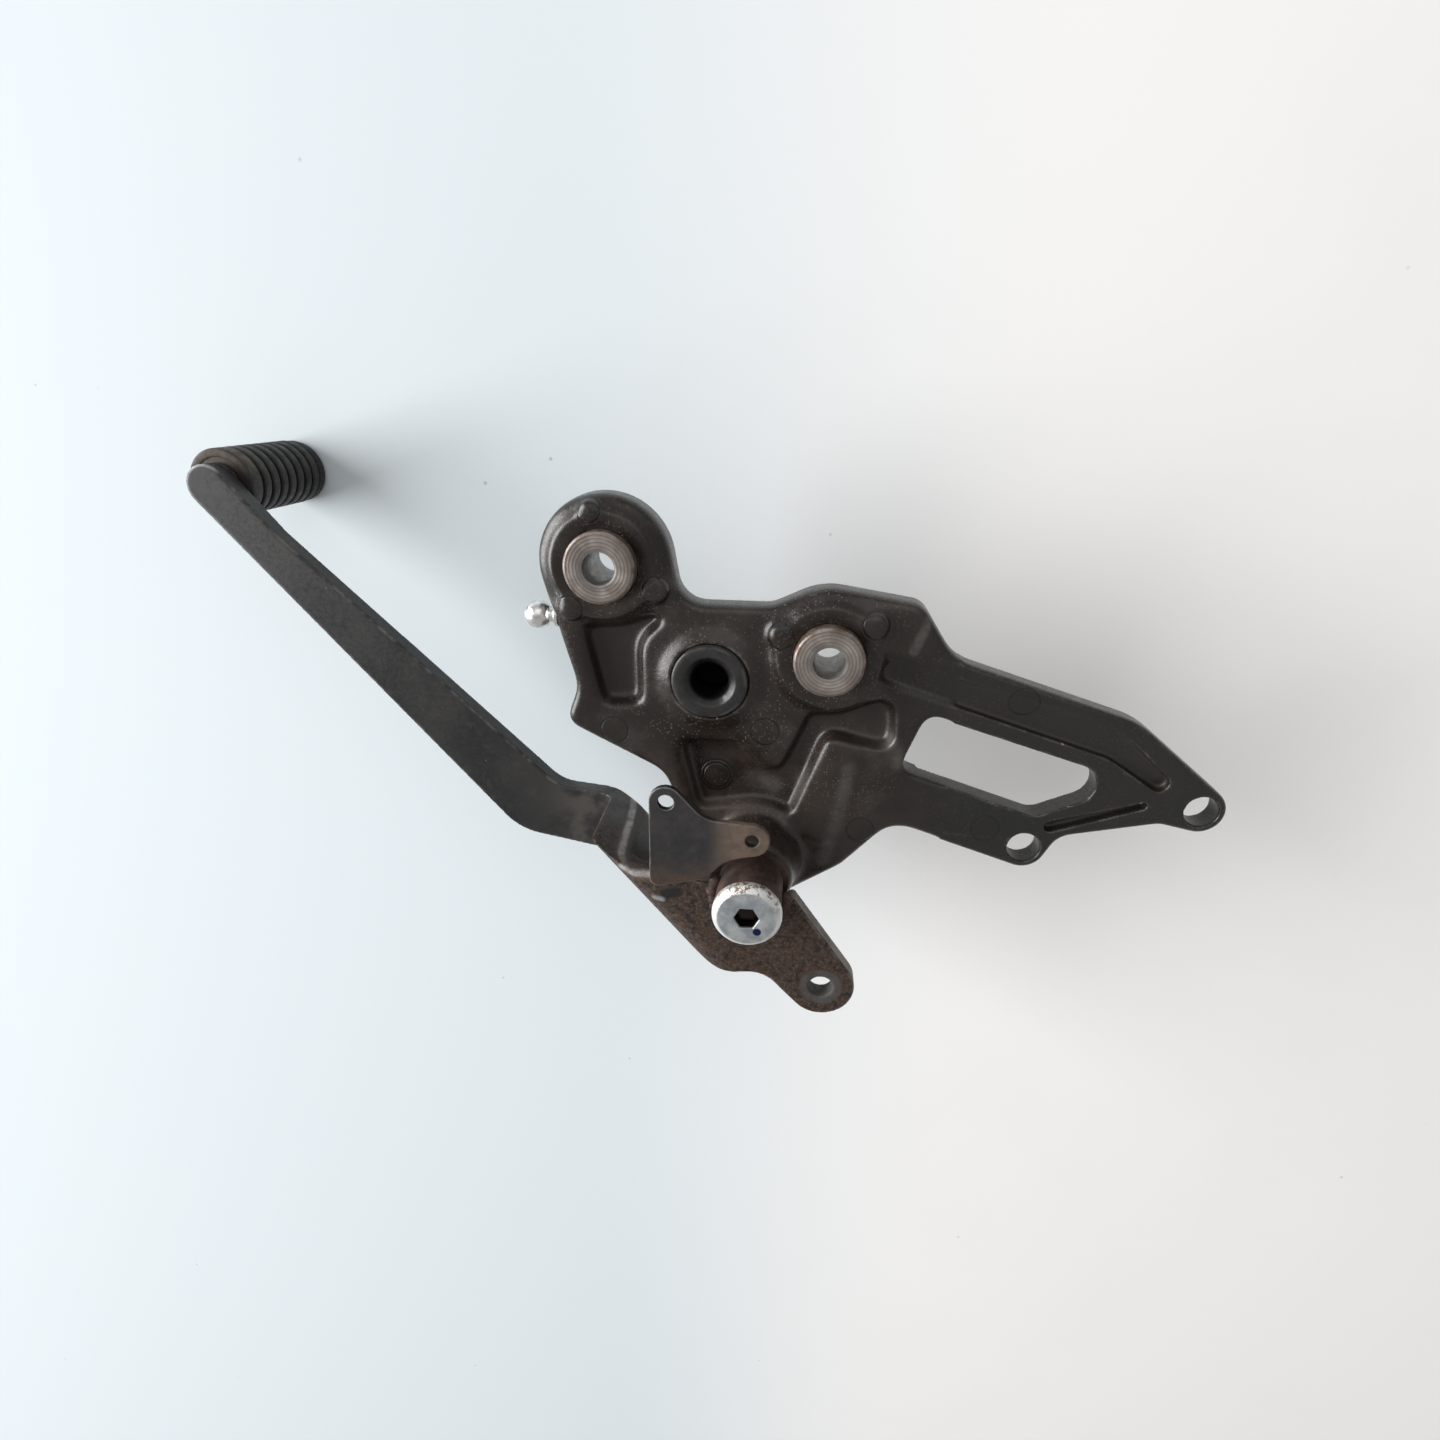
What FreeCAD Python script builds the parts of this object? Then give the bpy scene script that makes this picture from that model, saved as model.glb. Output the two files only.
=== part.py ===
import FreeCAD, Part
import math
import os
import Sketcher

# Motorbike footrest bracket with its rear brake pedal.
# X runs rearward, Y upward on the machine and Z inboard. The origin is on the front frame
# bolt's axis, level with the casting's inner face. All lengths are in millimetres.

doc = FreeCAD.newDocument("FootrestBracket")
sheet = doc.addObject("Spreadsheet::Sheet", "Sizes")

# Single sizes: alias, number, meaning.
single_sizes = [
    ("plate_thick", 9.0, "casting, inner face to outer face"),
    ("tail_thick", 7.2, "casting at the rear truss"),
    ("tail_start", 88.0, "front end of the thinner truss on the outer side"),
    ("edge_round", 1.4, "cast rounding along the outline, inner face"),
    ("edge_bevel", 0.9, "draft bevel along the outline, outer face"),
    ("press_gap", 0.04, "radial room of a pressed or screwed fit"),
    ("weld_gap", 0.12, "radial room between the pivot tube and the plate welded to it"),
    ("running_gap", 0.05, "radial room of the pedal pivot"),
    ("side_gap", 0.3, "axial room beside the turning tube"),
    ("front_r", 18.4, "outline round the front frame bolt"),
    ("seat_r", 13.0, "bosses on the outer side"),
    ("seat_drop", 13.4, "boss faces on the outer side, below the inner face"),
    ("collar_d", 19.2, "frame collar, outside"),
    ("collar_bore", 8.6, "frame collar, clearance for an eight millimetre bolt"),
    ("collar_proud", 6.2, "frame collar above the inner face"),
    ("collar_bevel", 0.5, "frame collar edges"),
    ("boss_rise", 3.0, "frame boss above the inner face"),
    ("boss_wall", 4.4, "frame boss at its top, past the collar"),
    ("boss_slope", 1.9, "frame boss, run of its sloped wall"),
    ("dish_lip", 0.7, "shallow dish of a frame boss, lip round it"),
    ("dish_depth", 0.9, "shallow dish of a frame boss"),
    ("centre_d", 21.4, "centre collar, outside"),
    ("centre_bore", 10.0, "centre collar, blind bore"),
    ("centre_floor", 2.6, "centre collar, floor under its bore"),
    ("centre_mouth_d", 14.4, "centre collar, mouth of its bevel"),
    ("centre_bevel_depth", 2.2, "centre collar, depth of its bevel"),
    ("centre_proud", 3.0, "centre collar above the inner face"),
    ("rim_rise", 2.2, "casting rim round the centre collar, above the inner face"),
    ("rim_wall", 1.3, "casting rim round the centre collar, top past the collar"),
    ("rim_slope", 3.6, "casting rim round the centre collar, run of its slope"),
    ("pivot_top_r", 11.6, "pivot boss at its top"),
    ("pivot_foot_r", 14.6, "pivot boss at its foot"),
    ("pivot_rise", 13.0, "pivot boss above the inner face"),
    ("boss_root", 1.0, "depth that a raised boss starts below the inner face"),
    ("eye_bore", 9.2, "bore of a rear eye"),
    ("front_pocket_depth", 4.4, "front weight pocket"),
    ("lower_pocket_depth", 3.8, "lower weight pocket"),
    ("front_draft", 27.0, "front weight pocket, draft of its walls in degrees"),
    ("lower_draft", 18.0, "lower weight pocket, draft of its walls in degrees"),
    ("spine_draft", 30.0, "spine and branch rim, draft of their walls in degrees"),
    ("branch_rim", 2.2, "rim round the end of the lower pocket's branch, at its foot"),
    ("wedge_depth", 3.0, "lower channel of the rear truss"),
    ("chord_turn", -19.0, "upper chord of the truss, heading from X in degrees"),
    ("channel_tilt", 12.0, "upper channel's floor, tilt about the chord in degrees"),
    ("channel_set", 2.0, "upper channel's floor below the inner face, level with the rear bolt"),
    ("channel_clear", 6.0, "upper channel, height cleared above its floor"),
    ("spine_rise", 1.4, "broad spine from the lower pocket to the pivot"),
    ("pad_rise", 0.3, "ejector pads above the boss faces"),
    ("disc_rise", 0.7, "plain cast disc above the pocket floor"),
    ("ball_face_x", -14.4, "ball stud, seat on the front edge"),
    ("ball_y", -15.4, "ball stud along the front edge"),
    ("ball_seat_r", 3.6, "ball stud, spot face"),
    ("ball_seat_cut", 4.0, "ball stud, reach of the spot face past the edge"),
    ("ball_d", 8.0, "ball stud, ball"),
    ("ball_reach", 6.0, "ball stud, ball centre from its seat"),
    ("ball_neck_d", 4.4, "ball stud, neck"),
    ("ball_flange_d", 6.6, "ball stud, flange"),
    ("ball_flange_thick", 1.0, "ball stud, flange"),
    ("ball_thread_d", 5.0, "ball stud, thread"),
    ("ball_thread_length", 5.0, "ball stud, thread in the casting"),
    ("lever_thick", 5.6, "pedal plate"),
    ("lever_offset", 34.0, "joggle, from the plate at the pivot to the arm"),
    ("bend_r", 3.5, "joggle, inside radius of its bends"),
    ("joggle_x", 10.2, "joggle, point on its outer face"),
    ("joggle_y", -94.7, "joggle, point on its outer face"),
    ("joggle_turn", 39.4, "joggle, heading from X in degrees"),
    ("clevis_bore", 7.0, "bore of the push rod eye"),
    ("tube_d", 18.4, "pivot tube, outside"),
    ("tube_length", 14.0, "pivot tube"),
    ("tube_set", 0.2, "pivot tube below the pedal plate"),
    ("washer_thick", 0.9, "thrust washer"),
    ("washer_lip", 1.6, "thrust washer past the pivot tube"),
    ("shoulder_d", 12.0, "pivot bolt, shoulder"),
    ("thread_d", 10.0, "pivot bolt, thread"),
    ("thread_length", 24.0, "pivot bolt, thread below its shoulder"),
    ("head_lip", 0.3, "pivot bolt, head past the pivot tube"),
    ("head_thick", 3.6, "pivot bolt, head"),
    ("head_bevel", 1.5, "pivot bolt, bevel of its head"),
    ("key_width", 6.0, "pivot bolt, hexagon socket across flats"),
    ("key_depth", 5.0, "pivot bolt, hexagon socket"),
    ("spring_thick", 2.0, "spring plate"),
    ("spring_bore", 4.4, "return spring hole"),
    ("switch_bore", 3.6, "brake switch hole"),
    ("hook_gap", 3.2, "spring plate, inside curve past the pivot tube"),
    ("pin_d", 8.0, "toe pin in the rubber"),
    ("pin_shoulder_d", 12.0, "toe pin, shoulder behind the arm"),
    ("pin_shoulder_length", 1.2, "toe pin, shoulder behind the arm"),
    ("rubber_d", 20.0, "toe rubber over its ribs"),
    ("rubber_length", 39.5, "toe rubber"),
    ("rubber_cap", 3.0, "toe rubber beyond the pin's end"),
    ("rubber_round", 1.6, "toe rubber, rounding of its end"),
    ("rib_pitch", 3.4, "toe rubber, one rib and its groove"),
    ("rib_run", 27.2, "toe rubber, ribbed length from its end"),
    ("groove_width", 1.6, "toe rubber, groove between ribs"),
    ("groove_depth", 1.4, "toe rubber, groove between ribs"),
]

# Rounds of the outlines: name, centre in X, centre in Y, radius, meaning. A round that is
# used beside another one is placed from that one's centre.
round_sizes = [
    ("rear", 60.8, -23.8, 18.4, "rear frame bolt and its outline"),
    ("centre", 28.5, -31.4, 13.4, "centre collar and its rim"),
    ("pivot", 41.5, -87.2, 16.6, "pedal pivot and its outline"),
    ("lower_eye", 119.6, -79.9, 6.7, "lower rear eye and its outline"),
    ("tail_eye", 165.8, -65.7, 6.7, "tail eye and its outline"),
    ("shoulder", 72.5, -37.8, 24.1, "shoulder of the truss"),
    ("sweep", 42.7, 11.8, 14.0, "hollow behind the rear boss"),
    ("horn", 20.5, 9.2, 6.0, "horn of the rear boss"),
    ("saddle_rear", -17.8, 22.6, 9.6, "saddle between the bosses, rear end"),
    ("saddle_front", 27.2, -2.6, 8.0, "saddle between the bosses, front end"),
    ("waist", -18.5, -34.8, 8.3, "hollow below the front boss"),
    ("chin", -9.2, -44.4, 4.0, "front corner below the waist"),
    ("throat", -34.6, 19.4, 9.4, "hollow in front of the pivot"),
    ("heel", 19.0, 5.7, 11.0, "lobe behind the pivot"),
    ("underside", -35.3, -4.4, 8.6, "hollow between the pivot and the lower eye"),
    ("gap_front", 14.0, -2.1, 6.8, "notch between the eyes, front end"),
    ("gap_rear", -10.3, -11.8, 7.0, "notch between the eyes, rear end"),
    ("window_top", -28.6, 35.6, 3.6, "truss window, top corner"),
    ("window_front", -33.0, 25.0, 3.2, "truss window, front corner"),
    ("window_low", 1.4, 16.0, 5.4, "truss window, low corner"),
    ("window_rear", 10.8, 20.9, 6.0, "truss window, rear corner"),
    ("left_top", -5.0, -9.2, 2.6, "front pocket, upper front corner, from the collar's edge"),
    ("left_foot", -0.2, -37.6, 3.4, "front pocket, lower front corner"),
    ("left_toe", 6.0, -37.0, 3.6, "front pocket, lower rear corner"),
    ("left_waist", 18.0, -25.4, 8.4, "front pocket, bulge of the centre boss"),
    ("left_horn", 13.4, -15.0, 2.4, "front pocket, upper rear corner"),
    ("low_front", -18.5, 34.2, 3.4, "lower pocket, upper front corner"),
    ("low_foot", -15.3, 16.8, 2.6, "lower pocket, lower front corner"),
    ("low_heel", 9.4, 16.6, 2.4, "lower pocket, lower rear corner"),
    ("low_corner", 21.9, 36.7, 2.5, "lower pocket, corner below its branch"),
    ("branch_low", 15.2, -22.6, 4.5, "lower pocket's branch, lower rear corner"),
    ("branch_top", 14.8, -6.2, 4.4, "lower pocket's branch, upper rear corner, from the collar's edge"),
    ("branch_front", -4.0, -8.2, 1.8, "lower pocket's branch, upper front corner, from the collar's edge"),
    ("low_tongue", 4.1, 32.6, 3.4, "lower pocket, tongue from above"),
    ("low_top", -5.3, 35.6, 2.4, "lower pocket, upper corner"),
    ("spine_front", 20.5, 39.6, 2.0, "spine, upper front corner"),
    ("spine_foot", 8.5, 11.2, 2.0, "spine, lower front corner"),
    ("spine_heel", 20.0, 6.7, 3.0, "spine, lower rear corner"),
    ("spine_bend", 25.5, 14.7, 2.4, "spine, bend of its rear edge"),
    ("spine_top", 29.3, 36.4, 2.0, "spine, upper rear corner"),
    ("rib_front", 17.6, -3.6, 3.4, "upper channel, front end"),
    ("rib_under", 71.2, -40.2, 15.0, "upper channel, inside of its bend"),
    ("rib_rear", -12.6, 8.5, 2.4, "upper channel, rear end"),
    ("rib_over", 73.2, -26.7, 10.4, "upper channel, outside of its bend"),
    ("wedge_front", 6.4, 7.2, 1.6, "lower channel, front end"),
    ("wedge_rear", -15.6, 1.0, 0.9, "lower channel, rear end"),
    ("pad_upper", -2.5, 14.2, 3.0, "ejector pad above the front collar"),
    ("pad_rear", 14.2, -6.3, 3.6, "ejector pad behind the front collar"),
    ("pad_front", -9.3, -11.9, 3.6, "ejector pad below the front collar"),
    ("pad_saddle", -13.1, 6.0, 3.6, "ejector pad in front of the rear collar"),
    ("pad_horn", 11.9, 9.5, 3.6, "ejector pad behind the rear collar"),
    ("disc", -11.6, 24.7, 4.8, "plain cast disc in the lower pocket"),
    ("toe", -119.0, 17.2, 6.1, "toe peg and the arm's end"),
    ("toe_neck", 29.0, -4.2, 14.0, "hollow beside the toe peg"),
    ("elbow_outer", -36.5, 21.1, 18.9, "arm's elbow, outside"),
    ("arm_under", -4.6, -16.6, 12.0, "hollow below the joggle"),
    ("chin_low", 24.3, -10.6, 10.2, "pedal plate's lower corner"),
    ("clevis_throat", -20.7, -5.9, 9.5, "hollow in front of the push rod eye"),
    ("clevis", 62.7, -118.3, 9.7, "push rod eye and its outline"),
    ("notch_rear", 2.7, -2.6, 1.2, "plate's corner behind the pivot tube"),
    ("notch_front", -2.1, 1.0, 1.2, "plate's corner in front of the pivot tube"),
    ("joggle_dip", -1.7, 23.3, 10.0, "hollow at the joggle's upper end"),
    ("joggle_top", -16.2, 9.7, 8.8, "corner at the joggle's upper end"),
    ("elbow_inner", -26.4, 32.4, 12.6, "arm's elbow, inside"),
    ("spring", 18.8, -58.9, 4.6, "return spring hole and its outline"),
    ("ear_low", -2.8, -24.1, 2.3, "spring plate, lower front corner"),
    ("ear_rear", -4.3, 6.7, 2.0, "spring plate, lower rear corner, from the pivot tube's edge"),
    ("switch", 0.6, 8.5, 4.8, "brake switch hole and its outline, from the pivot tube's edge"),
    ("ear_hollow", -8.6, 14.5, 9.0, "spring plate, hollow between its holes"),
]

cells = list(single_sizes)
for name, x, y, radius, meaning in round_sizes:
    cells.append((name + "_x", x, meaning + ", X"))
    cells.append((name + "_y", y, meaning + ", Y"))
    cells.append((name + "_r", radius, meaning + ", radius"))
for row, (alias, number, meaning) in enumerate(cells, start=1):
    sheet.set("A%d" % row, meaning)
    sheet.set("B%d" % row, str(number))
    sheet.setAlias("B%d" % row, alias)
doc.recompute()

numbers = {alias: float(sheet.get(alias)) for alias, number, meaning in cells}


def value(formula):
    """Number of a formula: sums of aliases and numbers, with products and quotients."""
    total = 0.0
    for term in formula.replace("- ", "+ -").split("+ "):
        product = -1.0 if term.strip().startswith("-") else 1.0
        for factor in term.strip().lstrip("-").split("*"):
            top, *below = [piece.strip() for piece in factor.split("/")]
            product *= numbers[top] if top in numbers else float(top)
            for divisor in below:
                product /= float(divisor)
        total += product
    return total


def bound(formula):
    """The same formula with each alias named through the sheet."""
    words = []
    for word in formula.split():
        bare = word.lstrip("-")
        sign = word[: len(word) - len(bare)]
        words.append(sign + "Sizes." + bare if bare in numbers else word)
    return " ".join(words)


def opposite(formula):
    """The formula with the sign of every term turned."""
    terms = [term.strip() for term in formula.replace("- ", "+ -").split("+ ")]
    return " + ".join(term[1:] if term.startswith("-") else "-" + term for term in terms)


def round_at(name, base=None, turn=1):
    """Centre and signed radius of a named round, placed from a base centre."""
    x = name + "_x"
    y = name + "_y"
    if base:
        x = base + "_x + " + x
        y = base + "_y + " + y
    return x, y, ("" if turn > 0 else "-") + name + "_r"


def below_collar(name, base=None):
    """Round placed from the lower edge of a frame collar."""
    x, y, radius = round_at(name, base)
    return x, y + " - collar_d / 2", radius


def new_body(label):
    body = doc.addObject("PartDesign::Body", label)
    body.Label = label
    return body


def origin_plane(body, role):
    return [item for item in body.Origin.OriginFeatures if item.Role == role][0]


def flat_sketch(body, name, level=None):
    """Sketch parallel to the inner face, at a height."""
    sketch = body.newObject("Sketcher::SketchObject", name)
    sketch.AttachmentSupport = [(origin_plane(body, "XY_Plane"), "")]
    sketch.MapMode = "FlatFace"
    if level:
        sketch.setExpression("AttachmentOffset.Base.z", bound(level))
    return sketch


def upright_sketch(body, name, x=None, y=None):
    """Sketch in an upright plane along X, its vertical axis through (x, y)."""
    sketch = body.newObject("Sketcher::SketchObject", name)
    sketch.AttachmentSupport = [(origin_plane(body, "XZ_Plane"), "")]
    sketch.MapMode = "FlatFace"
    if x:
        sketch.setExpression("AttachmentOffset.Base.x", bound(x))
        sketch.setExpression("AttachmentOffset.Base.z", "-" + bound(y))
    return sketch


def dimension(sketch, kind, references, formula):
    index = sketch.addConstraint(Sketcher.Constraint(kind, *references, value(formula)))
    sketch.setExpression("Constraints[%d]" % index, bound(formula))


def pin_point(sketch, geometry, vertex, x, y):
    """Holds a point of the sketch at two formulas from the sketch's origin."""
    if x == "0" and y == "0":
        sketch.addConstraint(Sketcher.Constraint("Coincident", geometry, vertex, -1, 1))
        return
    for kind, axis, formula in (("DistanceX", -2, x), ("DistanceY", -1, y)):
        if formula == "0":
            sketch.addConstraint(Sketcher.Constraint("PointOnObject", geometry, vertex, axis))
        else:
            dimension(sketch, kind, (-1, 1, geometry, vertex), formula)


def add_circle(sketch, x, y, radius):
    centre = FreeCAD.Vector(value(x), value(y), 0)
    circle = Part.Circle(centre, FreeCAD.Vector(0, 0, 1), value(radius))
    index = sketch.addGeometry(circle)
    dimension(sketch, "Radius", (index,), radius)
    pin_point(sketch, index, 3, x, y)


def add_belt(sketch, rounds):
    """Closed outline of arcs joined by tangent lines, run anticlockwise.

    Each round is (x, y, radius). A positive radius turns left, a negative one right.
    """
    centres = [FreeCAD.Vector(value(x), value(y), 0) for x, y, radius in rounds]
    radii = [value(radius) for x, y, radius in rounds]
    count = len(rounds)
    normals = []
    lines = []
    for i in range(count):
        j = (i + 1) % count
        step = centres[j] - centres[i]
        turn = math.atan2(step.y, step.x) + math.acos((radii[j] - radii[i]) / step.Length)
        normal = FreeCAD.Vector(math.cos(turn), math.sin(turn), 0)
        line = Part.LineSegment(centres[i] - normal * radii[i], centres[j] - normal * radii[j])
        normals.append(normal)
        lines.append(sketch.addGeometry(line))
    for i, (x, y, radius) in enumerate(rounds):
        left_turn = radii[i] > 0
        outward = -1 if left_turn else 1
        ends = [normals[i - 1] * outward, normals[i] * outward]
        if not left_turn:
            ends.reverse()
        circle = Part.Circle(centres[i], FreeCAD.Vector(0, 0, 1), abs(radii[i]))
        angles = [math.atan2(end.y, end.x) for end in ends]
        index = sketch.addGeometry(Part.ArcOfCircle(circle, *angles))
        arrival, departure = (1, 2) if left_turn else (2, 1)
        sketch.addConstraint(Sketcher.Constraint("Tangent", lines[i - 1], 2, index, arrival))
        sketch.addConstraint(Sketcher.Constraint("Tangent", index, departure, lines[i], 1))
        dimension(sketch, "Radius", (index,), radius if left_turn else opposite(radius))
        pin_point(sketch, index, 3, x, y)


def add_polygon(sketch, points):
    """Closed outline of straight lines through (x, y) formulas."""
    corners = [FreeCAD.Vector(value(x), value(y), 0) for x, y in points]
    count = len(corners)
    lines = []
    for i in range(count):
        line = Part.LineSegment(corners[i], corners[(i + 1) % count])
        lines.append(sketch.addGeometry(line))
    for i in range(count):
        after = lines[(i + 1) % count]
        sketch.addConstraint(Sketcher.Constraint("Coincident", lines[i], 2, after, 1))
        pin_point(sketch, lines[i], 1, *points[i])


def extrude(body, sketch, length, cut=False, flip=False):
    """Pad upward or Pocket downward from a sketch, or the other way with flip."""
    kind = "PartDesign::Pocket" if cut else "PartDesign::Pad"
    feature = body.newObject(kind, sketch.Name + ("_cut" if cut else "_pad"))
    feature.Profile = sketch
    feature.setExpression("Length", bound(length))
    feature.Reversed = flip
    return feature


def sloped(feature, draft):
    """Lets an extrusion narrow along its length."""
    feature.setExpression("TaperAngle", "-" + bound(draft) + " * 1 deg")


def revolve(body, sketch, cut=False):
    """Turns a sketch about its own vertical axis."""
    kind = "PartDesign::Groove" if cut else "PartDesign::Revolution"
    feature = body.newObject(kind, sketch.Name + ("_groove" if cut else "_turn"))
    feature.Profile = sketch
    feature.ReferenceAxis = (sketch, ["V_Axis"])
    feature.Angle = 360
    return feature


def turned_body(label, points, x=None, y=None):
    """Body of revolution about an upright axis through (x, y)."""
    body = new_body(label)
    sketch = upright_sketch(body, label + "_section")
    add_polygon(sketch, points)
    revolve(body, sketch)
    if x:
        body.setExpression("Placement.Base.x", bound(x))
        body.setExpression("Placement.Base.y", bound(y))
    return body


# Frame boss at its top.
boss_r = "collar_d / 2 + boss_wall"

# Levels along the pivot, each standing on the one below.
tube_low = "pivot_rise + washer_thick + side_gap"
tube_top = tube_low + " + tube_length"
head_low = tube_top + " + side_gap"
head_top = head_low + " + head_thick"
plate_low = tube_low + " + tube_set"
plate_top = plate_low + " + lever_thick"
arm_low = plate_low + " - lever_offset"
arm_top = plate_top + " - lever_offset"
rubber_top = arm_low + " - pin_shoulder_length"
rubber_end = rubber_top + " - rubber_length"


def level_edges(feature, level):
    """Names of a feature's edges that lie flat at a height."""
    names = []
    for number, edge in enumerate(feature.Shape.Edges, start=1):
        if all(abs(vertex.Z - level) < numbers["press_gap"] for vertex in edge.Vertexes):
            names.append("Edge%d" % number)
    return names


def casting_plate(body):
    """Flat plate with the whole outline, its edges rounded as cast."""
    outline = flat_sketch(body, "outline")
    add_belt(outline, [
        round_at("tail_eye"),
        round_at("shoulder", "rear"),
        round_at("sweep", "rear", -1),
        round_at("horn", "rear"),
        round_at("rear"),
        round_at("saddle_rear", "rear", -1),
        round_at("saddle_front", None, -1),
        ("0", "0", "front_r"),
        round_at("waist", None, -1),
        round_at("chin"),
        round_at("throat", "pivot", -1),
        round_at("pivot"),
        round_at("heel", "pivot"),
        round_at("underside", "lower_eye", -1),
        round_at("lower_eye"),
        round_at("gap_front", "lower_eye", -1),
        round_at("gap_rear", "tail_eye", -1),
    ])
    plate = extrude(body, outline, "plate_thick", flip=True)
    doc.recompute()
    rounding = body.newObject("PartDesign::Fillet", "outline_round")
    rounding.Base = (plate, level_edges(plate, 0))
    rounding.setExpression("Radius", bound("edge_round"))
    doc.recompute()
    bevel = body.newObject("PartDesign::Chamfer", "outline_bevel")
    bevel.Base = (rounding, level_edges(rounding, -value("plate_thick")))
    bevel.setExpression("Size", bound("edge_bevel"))

    tail = flat_sketch(body, "tail_back_face", "-plate_thick")
    far_x = "tail_eye_x + tail_eye_r + edge_round"
    low_y = "lower_eye_y - lower_eye_r - edge_round"
    add_polygon(tail, [
        ("tail_start", low_y),
        (far_x, low_y),
        (far_x, "edge_round"),
        ("tail_start", "edge_round"),
    ])
    extrude(body, tail, "plate_thick - tail_thick", cut=True, flip=True)


def casting_bosses(body):
    """Bosses behind the plate, the pivot boss, the centre rim, the frame bosses and the spine."""
    seats = flat_sketch(body, "seats")
    add_circle(seats, "0", "0", "seat_r")
    add_circle(seats, "rear_x", "rear_y", "seat_r")
    add_circle(seats, "centre_x", "centre_y", "centre_r")
    add_circle(seats, "pivot_x", "pivot_y", "seat_r")
    extrude(body, seats, "seat_drop", flip=True)

    pivot_boss = upright_sketch(body, "pivot_boss", "pivot_x", "pivot_y")
    add_polygon(pivot_boss, [
        ("0", "-boss_root"),
        ("pivot_foot_r", "-boss_root"),
        ("pivot_foot_r", "0"),
        ("pivot_top_r", "pivot_rise"),
        ("0", "pivot_rise"),
    ])
    revolve(body, pivot_boss)

    rim_r = "centre_d / 2 + rim_wall"
    centre_rim = upright_sketch(body, "centre_rim", "centre_x", "centre_y")
    add_polygon(centre_rim, [
        ("0", "-boss_root"),
        (rim_r + " + rim_slope", "-boss_root"),
        (rim_r + " + rim_slope", "0"),
        (rim_r, "rim_rise"),
        ("0", "rim_rise"),
    ])
    revolve(body, centre_rim)

    for name, x, y in (("front_boss", None, None), ("rear_boss", "rear_x", "rear_y")):
        frame_boss = upright_sketch(body, name, x, y)
        add_polygon(frame_boss, [
            ("0", "-boss_root"),
            (boss_r + " + boss_slope", "-boss_root"),
            (boss_r + " + boss_slope", "0"),
            (boss_r, "boss_rise"),
            (boss_r + " - dish_lip", "boss_rise"),
            (boss_r + " - dish_lip * 2", "boss_rise - dish_depth"),
            ("0", "boss_rise - dish_depth"),
        ])
        revolve(body, frame_boss)

    spine = flat_sketch(body, "spine", "-boss_root")
    add_belt(spine, [
        round_at("spine_front", "pivot"),
        round_at("spine_foot", "pivot"),
        round_at("spine_heel", "pivot"),
        round_at("spine_bend", "pivot"),
        round_at("spine_top", "pivot"),
    ])
    sloped(extrude(body, spine, "spine_rise + boss_root"), "spine_draft")

    top_x, top_y, top_r = below_collar("branch_top", "rear")
    rim = flat_sketch(body, "branch_end", "-boss_root")
    add_belt(rim, [
        ("rear_x + branch_low_x", "rear_y + branch_low_y", "branch_low_r + branch_rim"),
        (top_x, top_y, top_r + " + branch_rim"),
        ("rear_x", "rear_y", "collar_d / 2"),
    ])
    sloped(extrude(body, rim, "spine_rise + boss_root"), "spine_draft")


def casting_hollows(body):
    """Weight pockets, truss channels and the window."""
    front_pocket = flat_sketch(body, "front_pocket")
    add_belt(front_pocket, [
        below_collar("left_top"),
        round_at("left_foot"),
        round_at("left_toe"),
        round_at("left_waist", None, -1),
        round_at("left_horn"),
        ("0", "0", opposite(boss_r + " + boss_slope")),
    ])
    sloped(extrude(body, front_pocket, "front_pocket_depth", cut=True), "front_draft")

    lower_pocket = flat_sketch(body, "lower_pocket", "spine_rise")
    add_belt(lower_pocket, [
        round_at("low_front", "pivot"),
        round_at("low_foot", "pivot"),
        round_at("pivot", None, -1),
        round_at("low_heel", "pivot"),
        round_at("low_corner", "pivot", -1),
        round_at("branch_low", "rear"),
        below_collar("branch_top", "rear"),
        ("rear_x", "rear_y", opposite(boss_r + " + boss_slope")),
        below_collar("branch_front", "rear"),
        round_at("low_tongue", "pivot", -1),
        round_at("low_top", "pivot"),
    ])
    lower_cut = extrude(body, lower_pocket, "lower_pocket_depth + spine_rise", cut=True)
    sloped(lower_cut, "lower_draft")

    # The upper channel's floor starts level with the outer edge and deepens towards the window.
    channel = flat_sketch(body, "channel")
    heading = math.radians(value("chord_turn"))
    chord = FreeCAD.Vector(math.cos(heading), math.sin(heading), 0)
    tilt = FreeCAD.Rotation(chord, value("channel_tilt"))
    channel.AttachmentOffset = FreeCAD.Placement(FreeCAD.Vector(), tilt)
    channel.setExpression("AttachmentOffset.Base.x", bound("rear_x"))
    channel.setExpression("AttachmentOffset.Base.y", bound("rear_y"))
    channel.setExpression("AttachmentOffset.Base.z", bound("-channel_set"))
    channel.setExpression("AttachmentOffset.Rotation.Angle", bound("channel_tilt"))
    add_belt(channel, [
        round_at("rib_front"),
        round_at("rib_under", None, -1),
        ("tail_eye_x - rear_x + rib_rear_x", "tail_eye_y - rear_y + rib_rear_y", "rib_rear_r"),
        round_at("rib_over"),
    ])
    extrude(body, channel, "channel_clear", cut=True, flip=True)

    wedge = flat_sketch(body, "wedge")
    add_belt(wedge, [
        round_at("wedge_front", "lower_eye"),
        round_at("wedge_rear", "tail_eye"),
    ])
    extrude(body, wedge, "wedge_depth", cut=True)

    window = flat_sketch(body, "window")
    add_belt(window, [
        round_at("window_top", "lower_eye"),
        round_at("window_front", "lower_eye"),
        round_at("window_low", "lower_eye"),
        round_at("window_rear", "lower_eye"),
    ])
    extrude(body, window, "plate_thick", cut=True)


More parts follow.
